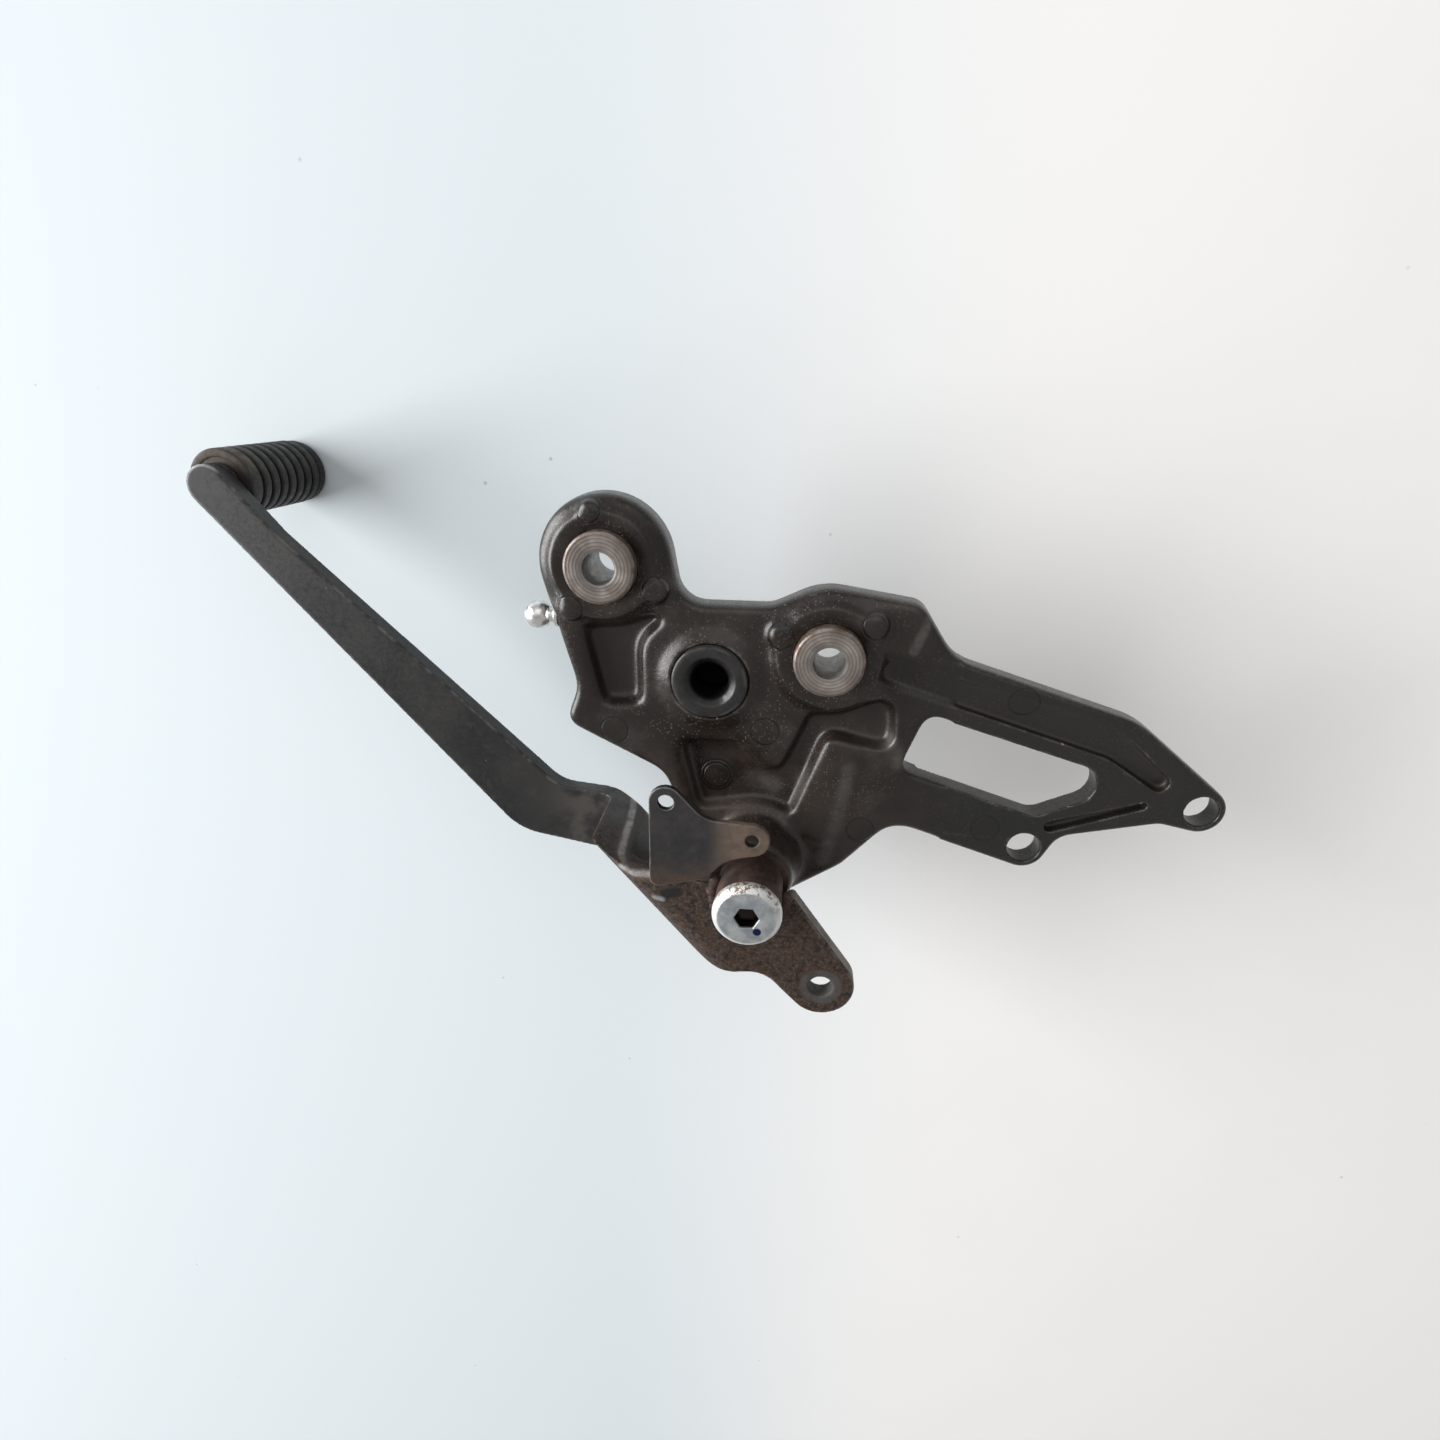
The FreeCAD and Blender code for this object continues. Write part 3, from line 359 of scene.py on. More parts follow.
# Casting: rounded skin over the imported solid, with worn ridges and dirty hollows
casting = {
    "voxel": 0.42 * mm,
    "smoothing": 10,
    "reliefSmoothing": 130,
    "reliefFloor": -7.0 * mm,
    "reliefEnd": 96.0 * mm,
    "collarClear": 10.4 * mm,
    "socketClear": 11.6 * mm,
    "triangles": 190000,
    "cloud": (38, 5),
    "fine": (700, 5, 0.7),
    "grain": (2600, 3),
    "cloudRange": (0.35, 0.68),
    "darkCast": (0.0110, 0.0078, 0.0064),
    "paleCast": (0.0225, 0.0162, 0.0132),
    "smudgePatches": (75, 6, 0.65, 0.50, 0.70),
    "smudge": ((0.040, 0.034, 0.030), 0.55),
    "channelFront": ((76.5, -24.5, 0.0), (84.0, -27.3, -1.0)),
    "channelReach": (1.5, 4.0),
    "channelShade": ((0.006, 0.005, 0.005), 0.7),
    # Pale strokes: the first, along the spine, is a painted sheen; the others are pale rubs
    "rubAndSheenPaths": (
        (((68.3, -57.0, 1.4), (67.0, -64.5, 1.4), (65.8, -72.0, 1.4), (62.2, -88.0, 0.0)), 3.4),
        (((86.4, -12.8, 0.0), (85.2, -16.4, 0.0), (83.2, -21.4, 0.0)), 2.0),
        (((79.0, -49.0, 0.0), (82.5, -54.0, 0.0)), 4.2),
        (((40.5, -63.0, -4.0), (47.0, -65.0, -4.0)), 4.5),
    ),
    "rubAndSheenCore": 0.5,
    "rubAndSheenPatches": (180, 5, 0.65, 0.30, 0.62, 0.35, 1.0),
    "paleRubAndSheen": ((0.078, 0.071, 0.066), 0.9),
    "greyStart": (75 * mm, 105 * mm),
    "greyRange": (0.3, 0.7, 1.0, 0.7),
    "greyCast": (0.0135, 0.0130, 0.0130),
    "soilReach": (20 * mm, 56 * mm),
    "soilPatches": (90, 6, 0.65, 0.36, 0.66),
    "soil": ((0.046, 0.031, 0.023), 0.7),
    "hollowRange": (0.004, 0.030),
    "hollowDirt": ((0.032, 0.023, 0.017), 0.5),
    "dustEnd": (60 * mm, 100 * mm, 1.0, 0.25),
    "dustPatches": (55, 4, 0.55, 0.40, 0.62),
    "flecks": ((1500, 0.36, 0.30), (1150, 0.19, 0.22)),
    "dust": ((0.20, 0.17, 0.14), 0.6),
    "ridgeRange": (0.008, 0.045),
    "wornPatches": (160, 5, 0.7, 0.42, 0.64),
    "worn": ((0.15, 0.138, 0.128), 0.55),
    "chipPatches": (420, 3, 0.6, 0.66, 0.70),
    "bareMetal": ((0.42, 0.40, 0.38), 0.8),
    "flushMarks": (
        (0.7, -47.9, 4.0), (44.0, -46.7, 4.0), (72.5, -76.7, 4.0), (113.8, -35.1, 4.0), (108.0, -74.0, 4.0),
    ),
    "roundel": ((29.9, -62.5, 4.9), (29.9, -62.5, 3.9)),
    "padMarks": (
        (-2.5, 14.2, 3.0), (14.2, -6.3, 3.6), (-9.3, -11.9, 3.6), (47.7, -17.8, 3.6), (72.7, -14.3, 3.6),
    ),
    "flushWidth": 0.40,
    "padWidth": 0.48,
    "discFade": 0.3,
    "markDisc": ((0.010, 0.008, 0.007), 0.3),
    "markLine": ((0.004, 0.0035, 0.003), 0.9),
    "roughRange": (0.30, 0.72, 0.22, 0.36),
    "dirtRoughness": 0.16,
    "grainBump": (0.25, 0.10 * mm),
    "fineBump": (0.30, 0.22 * mm),
    "markBump": (0.5, -0.20 * mm),
}


def castingFinish():
    look = Finish("castBlack")
    cloud = look.noise(*casting["cloud"])
    fine = look.noise(*casting["fine"])
    grain = look.noise(*casting["grain"])
    base = look.mix(look.ramp(cloud, *casting["cloudRange"]), casting["darkCast"], casting["paleCast"])
    base = look.paint(look.patches(*casting["smudgePatches"]), base, casting["smudge"])
    dim = look.stroke(casting["channelFront"], *casting["channelReach"])
    base = look.paint(dim, base, casting["channelShade"])
    # Pale strokes in patches: pale rubs, and a painted sheen along the spine
    rubAndSheenStrokes = [look.stroke(path, casting["rubAndSheenCore"], reach) for path, reach in casting["rubAndSheenPaths"]]
    rubAndSheen = look.product(look.most(*rubAndSheenStrokes), look.patches(*casting["rubAndSheenPatches"]))
    rearward = look.ramp(look.axis("X"), *casting["greyStart"])
    rearward = look.product(rearward, look.ramp(cloud, *casting["greyRange"]))
    base = look.mix(rearward, base, casting["greyCast"])
    base = look.paint(rubAndSheen, base, casting["paleRubAndSheen"])
    nearPivot = look.fade(look.reach(pivot), *casting["soilReach"])
    soil = look.product(nearPivot, look.patches(*casting["soilPatches"]))
    base = look.paint(soil, base, casting["soil"])
    hollow = look.ramp(look.stored("hollow"), *casting["hollowRange"])
    base = look.paint(hollow, base, casting["hollowDirt"])
    forward = look.ramp(look.axis("X"), *casting["dustEnd"])
    dusty = look.product(forward, look.patches(*casting["dustPatches"]))
    flecks = look.most(*[look.specks(*sizes) for sizes in casting["flecks"]])
    base = look.paint(look.product(flecks, dusty), base, casting["dust"])
    ridge = look.ramp(look.stored("ridge"), *casting["ridgeRange"])
    worn = look.product(ridge, look.patches(*casting["wornPatches"]))
    base = look.paint(worn, base, casting["worn"])
    chips = look.product(ridge, look.patches(*casting["chipPatches"]))
    base = look.paint(chips, base, casting["bareMetal"])
    flush = look.rings(casting["flushMarks"] + casting["roundel"], casting["flushWidth"])
    marks = look.most(flush, look.rings(casting["padMarks"], casting["padWidth"]))
    rounds = casting["padMarks"] + casting["flushMarks"] + casting["roundel"][:1]
    discs = [look.spot(x, y, radius - casting["discFade"], radius) for x, y, radius in rounds]
    base = look.paint(look.most(*discs), base, casting["markDisc"])
    base = look.paint(marks, base, casting["markLine"])
    rough = look.ramp(fine, *casting["roughRange"])
    rough = look.math("ADD", rough, look.product(look.most(soil, hollow), casting["dirtRoughness"]))
    normal = look.bump(grain, *casting["grainBump"])
    normal = look.bump(fine, *casting["fineBump"], normal)
    normal = look.bump(marks, *casting["markBump"], normal)
    return look.finish(base, roughness=rough, normal=normal)


castingSkin = roundedSkin("bracket_casting", "castingSkin", casting)
settle(castingSkin, "bracket", "cast_black", castingFinish(), "bracket_casting")
print("casting dressed:", len(castingSkin.data.polygons), "faces")


# Pedal lever: stamped plate with softened edges, rusty round the pivot
lever = {
    "voxel": 0.42 * mm,
    "smoothing": 3,
    "triangles": 150000,
    "specular": 0.4,
    "cloud": (45, 5),
    "fine": (900, 5, 0.7),
    "cloudRange": (0.38, 0.66),
    "darkPaint": (0.0130, 0.0130, 0.0135),
    "palePaint": (0.0240, 0.0232, 0.0228),
    "toeEnd": (-118 * mm, -60 * mm),
    "toePaint": ((0.040, 0.039, 0.040), 0.25),
    "scuffPatches": (210, 6, 0.7, 0.52, 0.68),
    "scuff": ((0.048, 0.041, 0.036), 0.35),
    "nicks": (420, 0.12, 0.05),
    "nick": ((0.15, 0.13, 0.11), 0.6),
    "bendStart": (-30 * mm, -14 * mm),
    "bendTop": (-6 * mm, 6 * mm),
    "rubAndSheenPatches": (120, 5, 0.6, 0.36, 0.60),
    "paleRubAndSheen": ((0.066, 0.059, 0.054), 0.85),
    "plateRise": (-4 * mm, 12 * mm),
    "rustPatches": (110, 6, 0.7, 0.26, 0.50),
    "rust": (0.040, 0.0205, 0.0125),
    "dapple": (1000, 4, 0.75, 0.51, 0.57),
    "rustSpecks": ((0.094, 0.067, 0.052), 0.65),
    "pitPatches": (560, 4, 0.75, 0.42, 0.48, 1.0, 0.0),
    "pit": ((0.007, 0.0045, 0.0035), 0.9),
    "cutWall": (0.86, 0.97),
    "cutPatches": (150, 5, 0.7, 0.30, 0.60, 0.35, 1.0),
    "cutEdge": (0.21, 0.19, 0.17),
    "riserEnd": (13 * mm, 16 * mm),
    "hollowStart": (2.8 * mm, 3.8 * mm),
    "hollowTop": (14 * mm, 17 * mm),
    "hollowWall": (0.6, 0.9),
    "paintedRiserShade": ((0.021, 0.0165, 0.014), 0.9),
    "riserBandPath": (
        (1.2, -79.2, -19.0), (2.2, -79.6, -12.7), (3.0, -80.0, -3.4), (3.3, -80.1, 6.0), (3.9, -80.6, 14.0),
        (5.2, -82.0, 18.2), (8.3, -83.2, 19.1), (14.2, -82.8, 20.0),
    ),
    "bandHaloReach": (0.8, 3.4),
    "bandHaloDustAndHighlight": ((0.120, 0.100, 0.088), 0.55),
    "riserBandReach": (0.45, 1.6),
    "riserBandPatches": (260, 6, 0.75, 0.34, 0.60, 0.25, 1.0),
    "bareSteelAndHighlight": (0.34, 0.32, 0.30),
    "ridgeRange": (0.008, 0.05),
    "wornPatches": (140, 5, 0.7, 0.40, 0.62),
    "worn": ((0.19, 0.175, 0.16), 0.6),
    "tipReach": (6.5 * mm, 9.0 * mm),
    "tipTop": (3 * mm, 5 * mm),
    "tipSteelAndHighlight": ((0.42, 0.41, 0.40), 0.6),
    "eye": (62.7, -118.3, 5.6, 6.6),
    "eyePatches": (260, 5, 0.65, 0.32, 0.60, 0.45, 1.0),
    "eyeSteel": (0.060, 0.057, 0.054),
    "dimple": ((17.6, -89.3, 20.0), (21.0, -88.4, 20.0)),
    "dimpleReach": (1.0, 2.2),
    "dimpleShade": (0.005, 0.005, 0.0055),
    "polished": ((14.4, -91.0, 19.2), (16.6, -91.2, 19.8)),
    "polishedReach": (0.1, 1.5),
    "polish": ((0.27, 0.275, 0.28), 0.7),
    "roughRange": (0.3, 0.7, 0.30, 0.48),
    "rustRoughness": 0.22,
    "fineBump": (0.25, 0.12 * mm),
    "plateGrain": (1000, 5, 0.75),
    "plateBump": (0.6, 0.35 * mm),
}


def leverFinish():
    look = Finish("leverBlack", specular=lever["specular"])
    cloud = look.noise(*lever["cloud"])
    fine = look.noise(*lever["fine"])
    base = look.mix(look.ramp(cloud, *lever["cloudRange"]), lever["darkPaint"], lever["palePaint"])
    base = look.paint(look.fade(look.axis("X"), *lever["toeEnd"]), base, lever["toePaint"])
    base = look.paint(look.patches(*lever["scuffPatches"]), base, lever["scuff"])
    base = look.paint(look.specks(*lever["nicks"]), base, lever["nick"])
    # Lighter towards the bend on the arm: partly rubbed paint, partly a painted sheen
    bend = look.ramp(look.axis("X"), *lever["bendStart"])
    bend = look.product(bend, look.fade(look.axis("Z"), *lever["bendTop"]))
    rubAndSheen = look.product(bend, look.patches(*lever["rubAndSheenPatches"]))
    base = look.paint(rubAndSheen, base, lever["paleRubAndSheen"])
    plate = look.ramp(look.axis("Z"), *lever["plateRise"])
    rust = look.product(plate, look.patches(*lever["rustPatches"]))
    base = look.mix(rust, base, lever["rust"])
    dapple = look.product(plate, look.patches(*lever["dapple"]))
    base = look.paint(dapple, base, lever["rustSpecks"])
    pits = look.product(plate, look.patches(*lever["pitPatches"]))
    base = look.paint(pits, base, lever["pit"])
    wall = look.ramp(look.stored("wall"), *lever["cutWall"])
    edge = look.product(wall, look.patches(*lever["cutPatches"]))
    aft = look.ramp(look.axis("X"), *lever["riserEnd"])
    base = look.mix(look.product(edge, plate, aft), base, lever["cutEdge"])
    # Painted shade on the riser's steep face, behind the bright band
    inside = look.ramp(look.axis("X"), *lever["hollowStart"])
    inside = look.product(inside, look.fade(look.axis("Z"), *lever["hollowTop"]))
    steep = look.ramp(look.stored("wall"), *lever["hollowWall"])
    inside = look.product(inside, steep, look.fade(aft, 0.0, 1.0))
    base = look.paint(inside, base, lever["paintedRiserShade"])
    # Along the riser's bent edge: a pale halo of dust with painted highlight, and a bright band of bare
    # steel with painted highlight
    dusty = look.product(look.stroke(lever["riserBandPath"], *lever["bandHaloReach"]), plate)
    base = look.paint(dusty, base, lever["bandHaloDustAndHighlight"])
    bandSteelAndHighlight = look.stroke(lever["riserBandPath"], *lever["riserBandReach"])
    bandSteelAndHighlight = look.product(bandSteelAndHighlight, look.patches(*lever["riserBandPatches"]))
    base = look.mix(bandSteelAndHighlight, base, lever["bareSteelAndHighlight"])
    ridge = look.ramp(look.stored("ridge"), *lever["ridgeRange"])
    worn = look.product(ridge, look.patches(*lever["wornPatches"]))
    base = look.paint(worn, base, lever["worn"])
    # Bare steel on the toe end's ridges, upper side only, with a painted highlight along that rim
    tip = look.product(ridge, look.fade(look.reach(toe), *lever["tipReach"]))
    tip = look.product(tip, look.ramp(look.axis("Y"), *span(toe.y, lever["tipTop"])))
    base = look.paint(tip, base, lever["tipSteelAndHighlight"])
    eyeFace = look.product(look.spot(*lever["eye"]), look.patches(*lever["eyePatches"]))
    base = look.mix(eyeFace, base, lever["eyeSteel"])
    base = look.mix(look.stroke(lever["dimple"], *lever["dimpleReach"]), base, lever["dimpleShade"])
    shine = look.stroke(lever["polished"], *lever["polishedReach"])
    base = look.paint(shine, base, lever["polish"])
    rough = look.ramp(fine, *lever["roughRange"])
    rough = look.math("ADD", rough, look.product(rust, lever["rustRoughness"]))
    normal = look.bump(fine, *lever["fineBump"])
    grain = look.product(plate, look.noise(*lever["plateGrain"]))
    normal = look.bump(grain, *lever["plateBump"], normal)
    return look.finish(base, roughness=rough, normal=normal)


leverSkin = roundedSkin("pedal_lever", "leverSkin", lever)
settle(leverSkin, "pedal", "lever_black", leverFinish(), "pedal_lever")
print("lever dressed:", len(leverSkin.data.polygons), "faces")


# Turned and cut pieces: a merged copy whose sharp edges get a small bevel
def softEdged(node, name, bevel):
    piece = mergedCopy(node, name)
    work = bmesh.new()
    work.from_mesh(piece.data)
    bmesh.ops.dissolve_limit(work, angle_limit=copies["flatAngle"], verts=work.verts, edges=work.edges)
    work.to_mesh(piece.data)
    work.free()
    edge = piece.modifiers.new("edge", "BEVEL")
    edge.width = bevel
    edge.segments = copies["bevelSegments"]
    edge.limit_method = "ANGLE"
    edge.angle_limit = copies["bevelAngle"]
    plainMesh(piece)
    shadeSmooth(piece.data)
    piece.data.set_sharp_from_angle(angle=copies["sharpAngle"])
    return piece


# Collars of the frame bolts, with turning marks and rusty rims
collars = {
    "bevel": 0.35 * mm,
    "metallic": 0.55,
    "turnPitch": 0.95 * mm,
    "bandTurns": 4.1,
    "steelPatches": (140, 5, 0.65, 0.35, 0.68),
    "darkSteel": (0.21, 0.182, 0.165),
    "paleSteel": (0.345, 0.305, 0.278),
    "bandRange": (-0.2, 1.0),
    "darkBand": ((0.095, 0.078, 0.068), 0.25),
    "turnRange": (0.2, 1.0),
    "turnLine": ((0.080, 0.064, 0.055), 0.5),
    "rimReach": (7.9 * mm, 9.5 * mm),
    "rustPatches": (300, 5, 0.7, 0.40, 0.62),
    "rust": ((0.115, 0.055, 0.028), 0.85),
    "boreReach": (4.9 * mm, 5.3 * mm),
    "boreSteel": ((0.22, 0.21, 0.20), 0.6),
    "roughPatches": (500, 4, 0.55, 0.3, 0.7, 0.30, 0.50),
    "turnBump": (0.25, 0.06 * mm),
}


def collarFinish():
    look = Finish("turnedSteel", metallic=collars["metallic"])
    radius = look.math("MINIMUM", look.reach(frontBolt), look.reach(rearBolt))
    turning = look.waves(radius, 2 * math.pi / collars["turnPitch"])
    bands = look.waves(radius, 2 * math.pi / (collars["bandTurns"] * collars["turnPitch"]))
    base = look.mix(look.patches(*collars["steelPatches"]), collars["darkSteel"], collars["paleSteel"])
    base = look.paint(look.ramp(bands, *collars["bandRange"]), base, collars["darkBand"])
    base = look.paint(look.ramp(turning, *collars["turnRange"]), base, collars["turnLine"])
    rim = look.ramp(radius, *collars["rimReach"])
    rust = look.product(rim, look.patches(*collars["rustPatches"]))
    base = look.paint(rust, base, collars["rust"])
    base = look.paint(look.fade(radius, *collars["boreReach"]), base, collars["boreSteel"])
    rough = look.patches(*collars["roughPatches"])
    normal = look.bump(turning, *collars["turnBump"])
    return look.finish(base, roughness=rough, normal=normal)


turnedSteel = collarFinish()
for node in ("front_frame_collar", "rear_frame_collar"):
    piece = softEdged(node, node.replace("_frame_collar", "Collar"), collars["bevel"])
    settle(piece, "bracket", "turned_steel", turnedSteel, node)


# Centre socket, satin black with a soft wide bevel, a painted highlight round the bevel and painted shade
# in the bore
socket = {
    "bevel": 0.6 * mm,
    "steelPatches": (160, 5, 0.6, 0.35, 0.68),
    "darkSteel": (0.0105, 0.0100, 0.0102),
    "paleSteel": (0.0225, 0.0208, 0.0204),
    "rubAndSheenRadius": 9.9,
    "rubAndSheenWidth": 0.7,
    "rubAndSheenPatches": (240, 4, 0.55, 0.4, 0.6),
    "rubAndSheen": ((0.07, 0.066, 0.062), 0.6),
    "boreReach": (5.2 * mm, 6.2 * mm),
    "boreShade": ((0.003, 0.003, 0.003), 0.8),
    "specular": 0.5,
    "boreSpecularLoss": 0.48,
    "turnRate": 8000.0,
    "turnBump": (0.06, 0.04 * mm),
    "roughPatches": (420, 4, 0.55, 0.3, 0.7, 0.26, 0.42),
}


def socketFinish():
    look = Finish("blackSteel")
    radius = look.reach(centreSocket)
    base = look.mix(look.patches(*socket["steelPatches"]), socket["darkSteel"], socket["paleSteel"])
    # Pale ring round the bevel: partly rubbed, partly a painted highlight
    edge = (centreSocket.x / mm, centreSocket.y / mm, socket["rubAndSheenRadius"])
    rubAndSheen = look.rings((edge,), socket["rubAndSheenWidth"])
    rubAndSheen = look.product(rubAndSheen, look.patches(*socket["rubAndSheenPatches"]))
    base = look.paint(rubAndSheen, base, socket["rubAndSheen"])
    inside = look.fade(radius, *socket["boreReach"])
    base = look.paint(inside, base, socket["boreShade"])
    normal = look.bump(look.waves(radius, socket["turnRate"]), *socket["turnBump"])
    rough = look.patches(*socket["roughPatches"])
    specular = look.lowered(socket["specular"], inside, socket["boreSpecularLoss"])
    return look.finish(base, roughness=rough, specular=specular, normal=normal)


piece = softEdged("centre_collar", "centreSocket", socket["bevel"])
settle(piece, "bracket", "black_steel", socketFinish(), "centre_collar")


# Ball stud, smooth and bright
ballStud = {
    "bevel": 0.12 * mm,
    "metallic": 1.0,
    "dullPatches": (500, 4, 0.55, 0.42, 0.70),
    "bright": (0.86, 0.86, 0.85),
    "dull": (0.64, 0.63, 0.61),
    "roughPatches": (900, 3, 0.55, 0.3, 0.7, 0.20, 0.36),
}


def ballFinish():
    look = Finish("brightSteel", metallic=ballStud["metallic"])
    base = look.mix(look.patches(*ballStud["dullPatches"]), ballStud["bright"], ballStud["dull"])
    return look.finish(base, roughness=look.patches(*ballStud["roughPatches"]))


piece = softEdged("ball_stud", "ballStud", ballStud["bevel"])
settle(piece, "bracket", "bright_steel", ballFinish(), "ball_stud")


# Pivot bolt: zinc bevel painted pale as a highlight, bluish face, painted shade with some grime in the
# socket, rusty specks along the rim
bolt = {
    "bevel": 0.3 * mm,
    "metallic": 0.7,
    "facePatches": (230, 6, 0.65, 0.36, 0.64),
    "faceZinc": (0.30, 0.335, 0.37),
    "paleFace": (0.50, 0.52, 0.52),
    "bevelReach": (7.5 * mm, 8.3 * mm),
    "bevelZincHighlight": (0.78, 0.79, 0.78),
    "rustTop": (-1 * mm, 7 * mm),
    "rustReach": (6.6 * mm, 8.6 * mm),
    "rustPatches": (520, 5, 0.75, 0.50, 0.58),
    "rust": (0.15, 0.080, 0.040),
    "stainPatches": (1100, 5, 0.75, 0.58, 0.72),
    "stain": ((0.12, 0.115, 0.10), 0.55),
    "socketShadeDepth": (-0.9 * mm, -0.3 * mm),
    "socketShadeReach": (4.6 * mm, 5.0 * mm),
    "socketShadeAndGrime": (0.005, 0.004, 0.0035),
    "specular": 0.5,
    "socketShadeSpecularLoss": 0.40,
    "neckDepth": (-4.4 * mm, -3.8 * mm),
    "neckDirt": ((0.10, 0.075, 0.06), 0.7),
    "paintDot": (44.4, -91.2, 0.95, 1.35),
    "dotPaint": (0.010, 0.012, 0.075),
    "dirtMetallicLoss": 0.65,
    "roughPatches": (600, 4, 0.55, 0.3, 0.7, 0.32, 0.52),
    "grain": (800, 4),
    "grainBump": (0.12, 0.08 * mm),
}


def zincFinish():
    look = Finish("zincPlate", metallic=bolt["metallic"])
    radius = look.reach(pivot)
    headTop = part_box("pivot_bolt")[1].z
    face = look.mix(look.patches(*bolt["facePatches"]), bolt["faceZinc"], bolt["paleFace"])
    # The bevel is painted pale: a painted highlight on the zinc
    base = look.mix(look.ramp(radius, *bolt["bevelReach"]), face, bolt["bevelZincHighlight"])
    upper = look.ramp(look.axis("Y"), *span(pivot.y, bolt["rustTop"]))
    rim = look.product(upper, look.ramp(radius, *bolt["rustReach"]))
    rust = look.product(rim, look.patches(*bolt["rustPatches"]))
    base = look.mix(rust, base, bolt["rust"])
    base = look.paint(look.patches(*bolt["stainPatches"]), base, bolt["stain"])
    # Painted shade with some grime in the hex socket: darker and less glossy
    sunk = look.fade(look.axis("Z"), *span(headTop, bolt["socketShadeDepth"]))
    socketShadeAndGrime = look.product(sunk, look.fade(radius, *bolt["socketShadeReach"]))
    base = look.mix(socketShadeAndGrime, base, bolt["socketShadeAndGrime"])
    specular = look.lowered(bolt["specular"], socketShadeAndGrime, bolt["socketShadeSpecularLoss"])
    neck = look.fade(look.axis("Z"), *span(headTop, bolt["neckDepth"]))
    base = look.paint(neck, base, bolt["neckDirt"])
    base = look.mix(look.spot(*bolt["paintDot"]), base, bolt["dotPaint"])
    metallic = look.lowered(bolt["metallic"], look.most(rust, socketShadeAndGrime), bolt["dirtMetallicLoss"])
    rough = look.patches(*bolt["roughPatches"])
    normal = look.bump(look.noise(*bolt["grain"]), *bolt["grainBump"])
    return look.finish(base, roughness=rough, metallic=metallic, specular=specular, normal=normal)


piece = softEdged("pivot_bolt", "pivotBolt", bolt["bevel"])
settle(piece, "bracket", "zinc_plate", zincFinish(), "pivot_bolt")


# Pivot tube and its washer, brown with road dirt, and the toe peg
tube = {
    "bevel": 0.25 * mm,
    "roughness": 0.62,
    "specular": 0.3,
    "dirtPatches": (200, 6, 0.65, 0.36, 0.66),
    "darkDirt": (0.022, 0.0125, 0.0100),
    "paleDirt": (0.062, 0.038, 0.030),
    "dapple": (1300, 4, 0.7, 0.56, 0.70),
    "specks": ((0.17, 0.115, 0.080), 0.55),
    "grain": (700, 5, 0.7),
    "grainBump": (0.4, 0.2 * mm),
}


def tubeFinish():
    look = Finish("dirtySteel", roughness=tube["roughness"], specular=tube["specular"])
    base = look.mix(look.patches(*tube["dirtPatches"]), tube["darkDirt"], tube["paleDirt"])
    base = look.paint(look.patches(*tube["dapple"]), base, tube["specks"])
    normal = look.bump(look.noise(*tube["grain"]), *tube["grainBump"])
    return look.finish(base, normal=normal)


dirtySteel = tubeFinish()
for node, name, body in (
    ("pivot_tube", "pivotTube", "pedal"),
    ("pivot_washer", "pivotWasher", "bracket"),
    ("toe_pin", "toePin", "pedal"),
):
    settle(softEdged(node, name, tube["bevel"]), body, "dirty_steel", dirtySteel, node)


# Spring plate: dark bluish ear, rusty foot, dusty tan tongue
springPlate = {
    "voxel": 0.30 * mm,
    "smoothing": 2,
    "triangles": 120000,
    "bluePatches": (120, 6, 0.65, 0.36, 0.66),
    "blueDark": (0.0155, 0.0150, 0.0165),
    "bluePale": (0.0300, 0.0265, 0.0265),
    "footTop": (-86 * mm, -74 * mm),
    "rustPatches": (150, 6, 0.7, 0.32, 0.56),
    "rust": (0.052, 0.027, 0.016),
    "tongueStart": (29 * mm, 38 * mm),
    "tanPatches": (170, 5, 0.65, 0.28, 0.56, 0.35, 1.0),
    "tan": (0.120, 0.084, 0.062),
    "dapple": (1400, 4, 0.75, 0.56, 0.70),
    "tongueDapple": 0.5,
    "rustSpecks": ((0.17, 0.11, 0.072), 0.6),
    "ridgeRange": (0.010, 0.045),
    "tongueWear": 0.2,
    "wornPatches": (170, 5, 0.7, 0.36, 0.58, 0.25, 1.0),
    "worn": ((0.24, 0.225, 0.215), 0.7),
    "switchHole": (42.1, -69.5, 1.75, 2.1),
    "holeDirt": (0.020, 0.015, 0.011),
    "roughPatches": (500, 4, 0.55, 0.3, 0.7, 0.34, 0.50),
    "dirtRoughness": 0.2,
    "grain": (800, 5, 0.7),
    "grainBump": (0.3, 0.15 * mm),
}


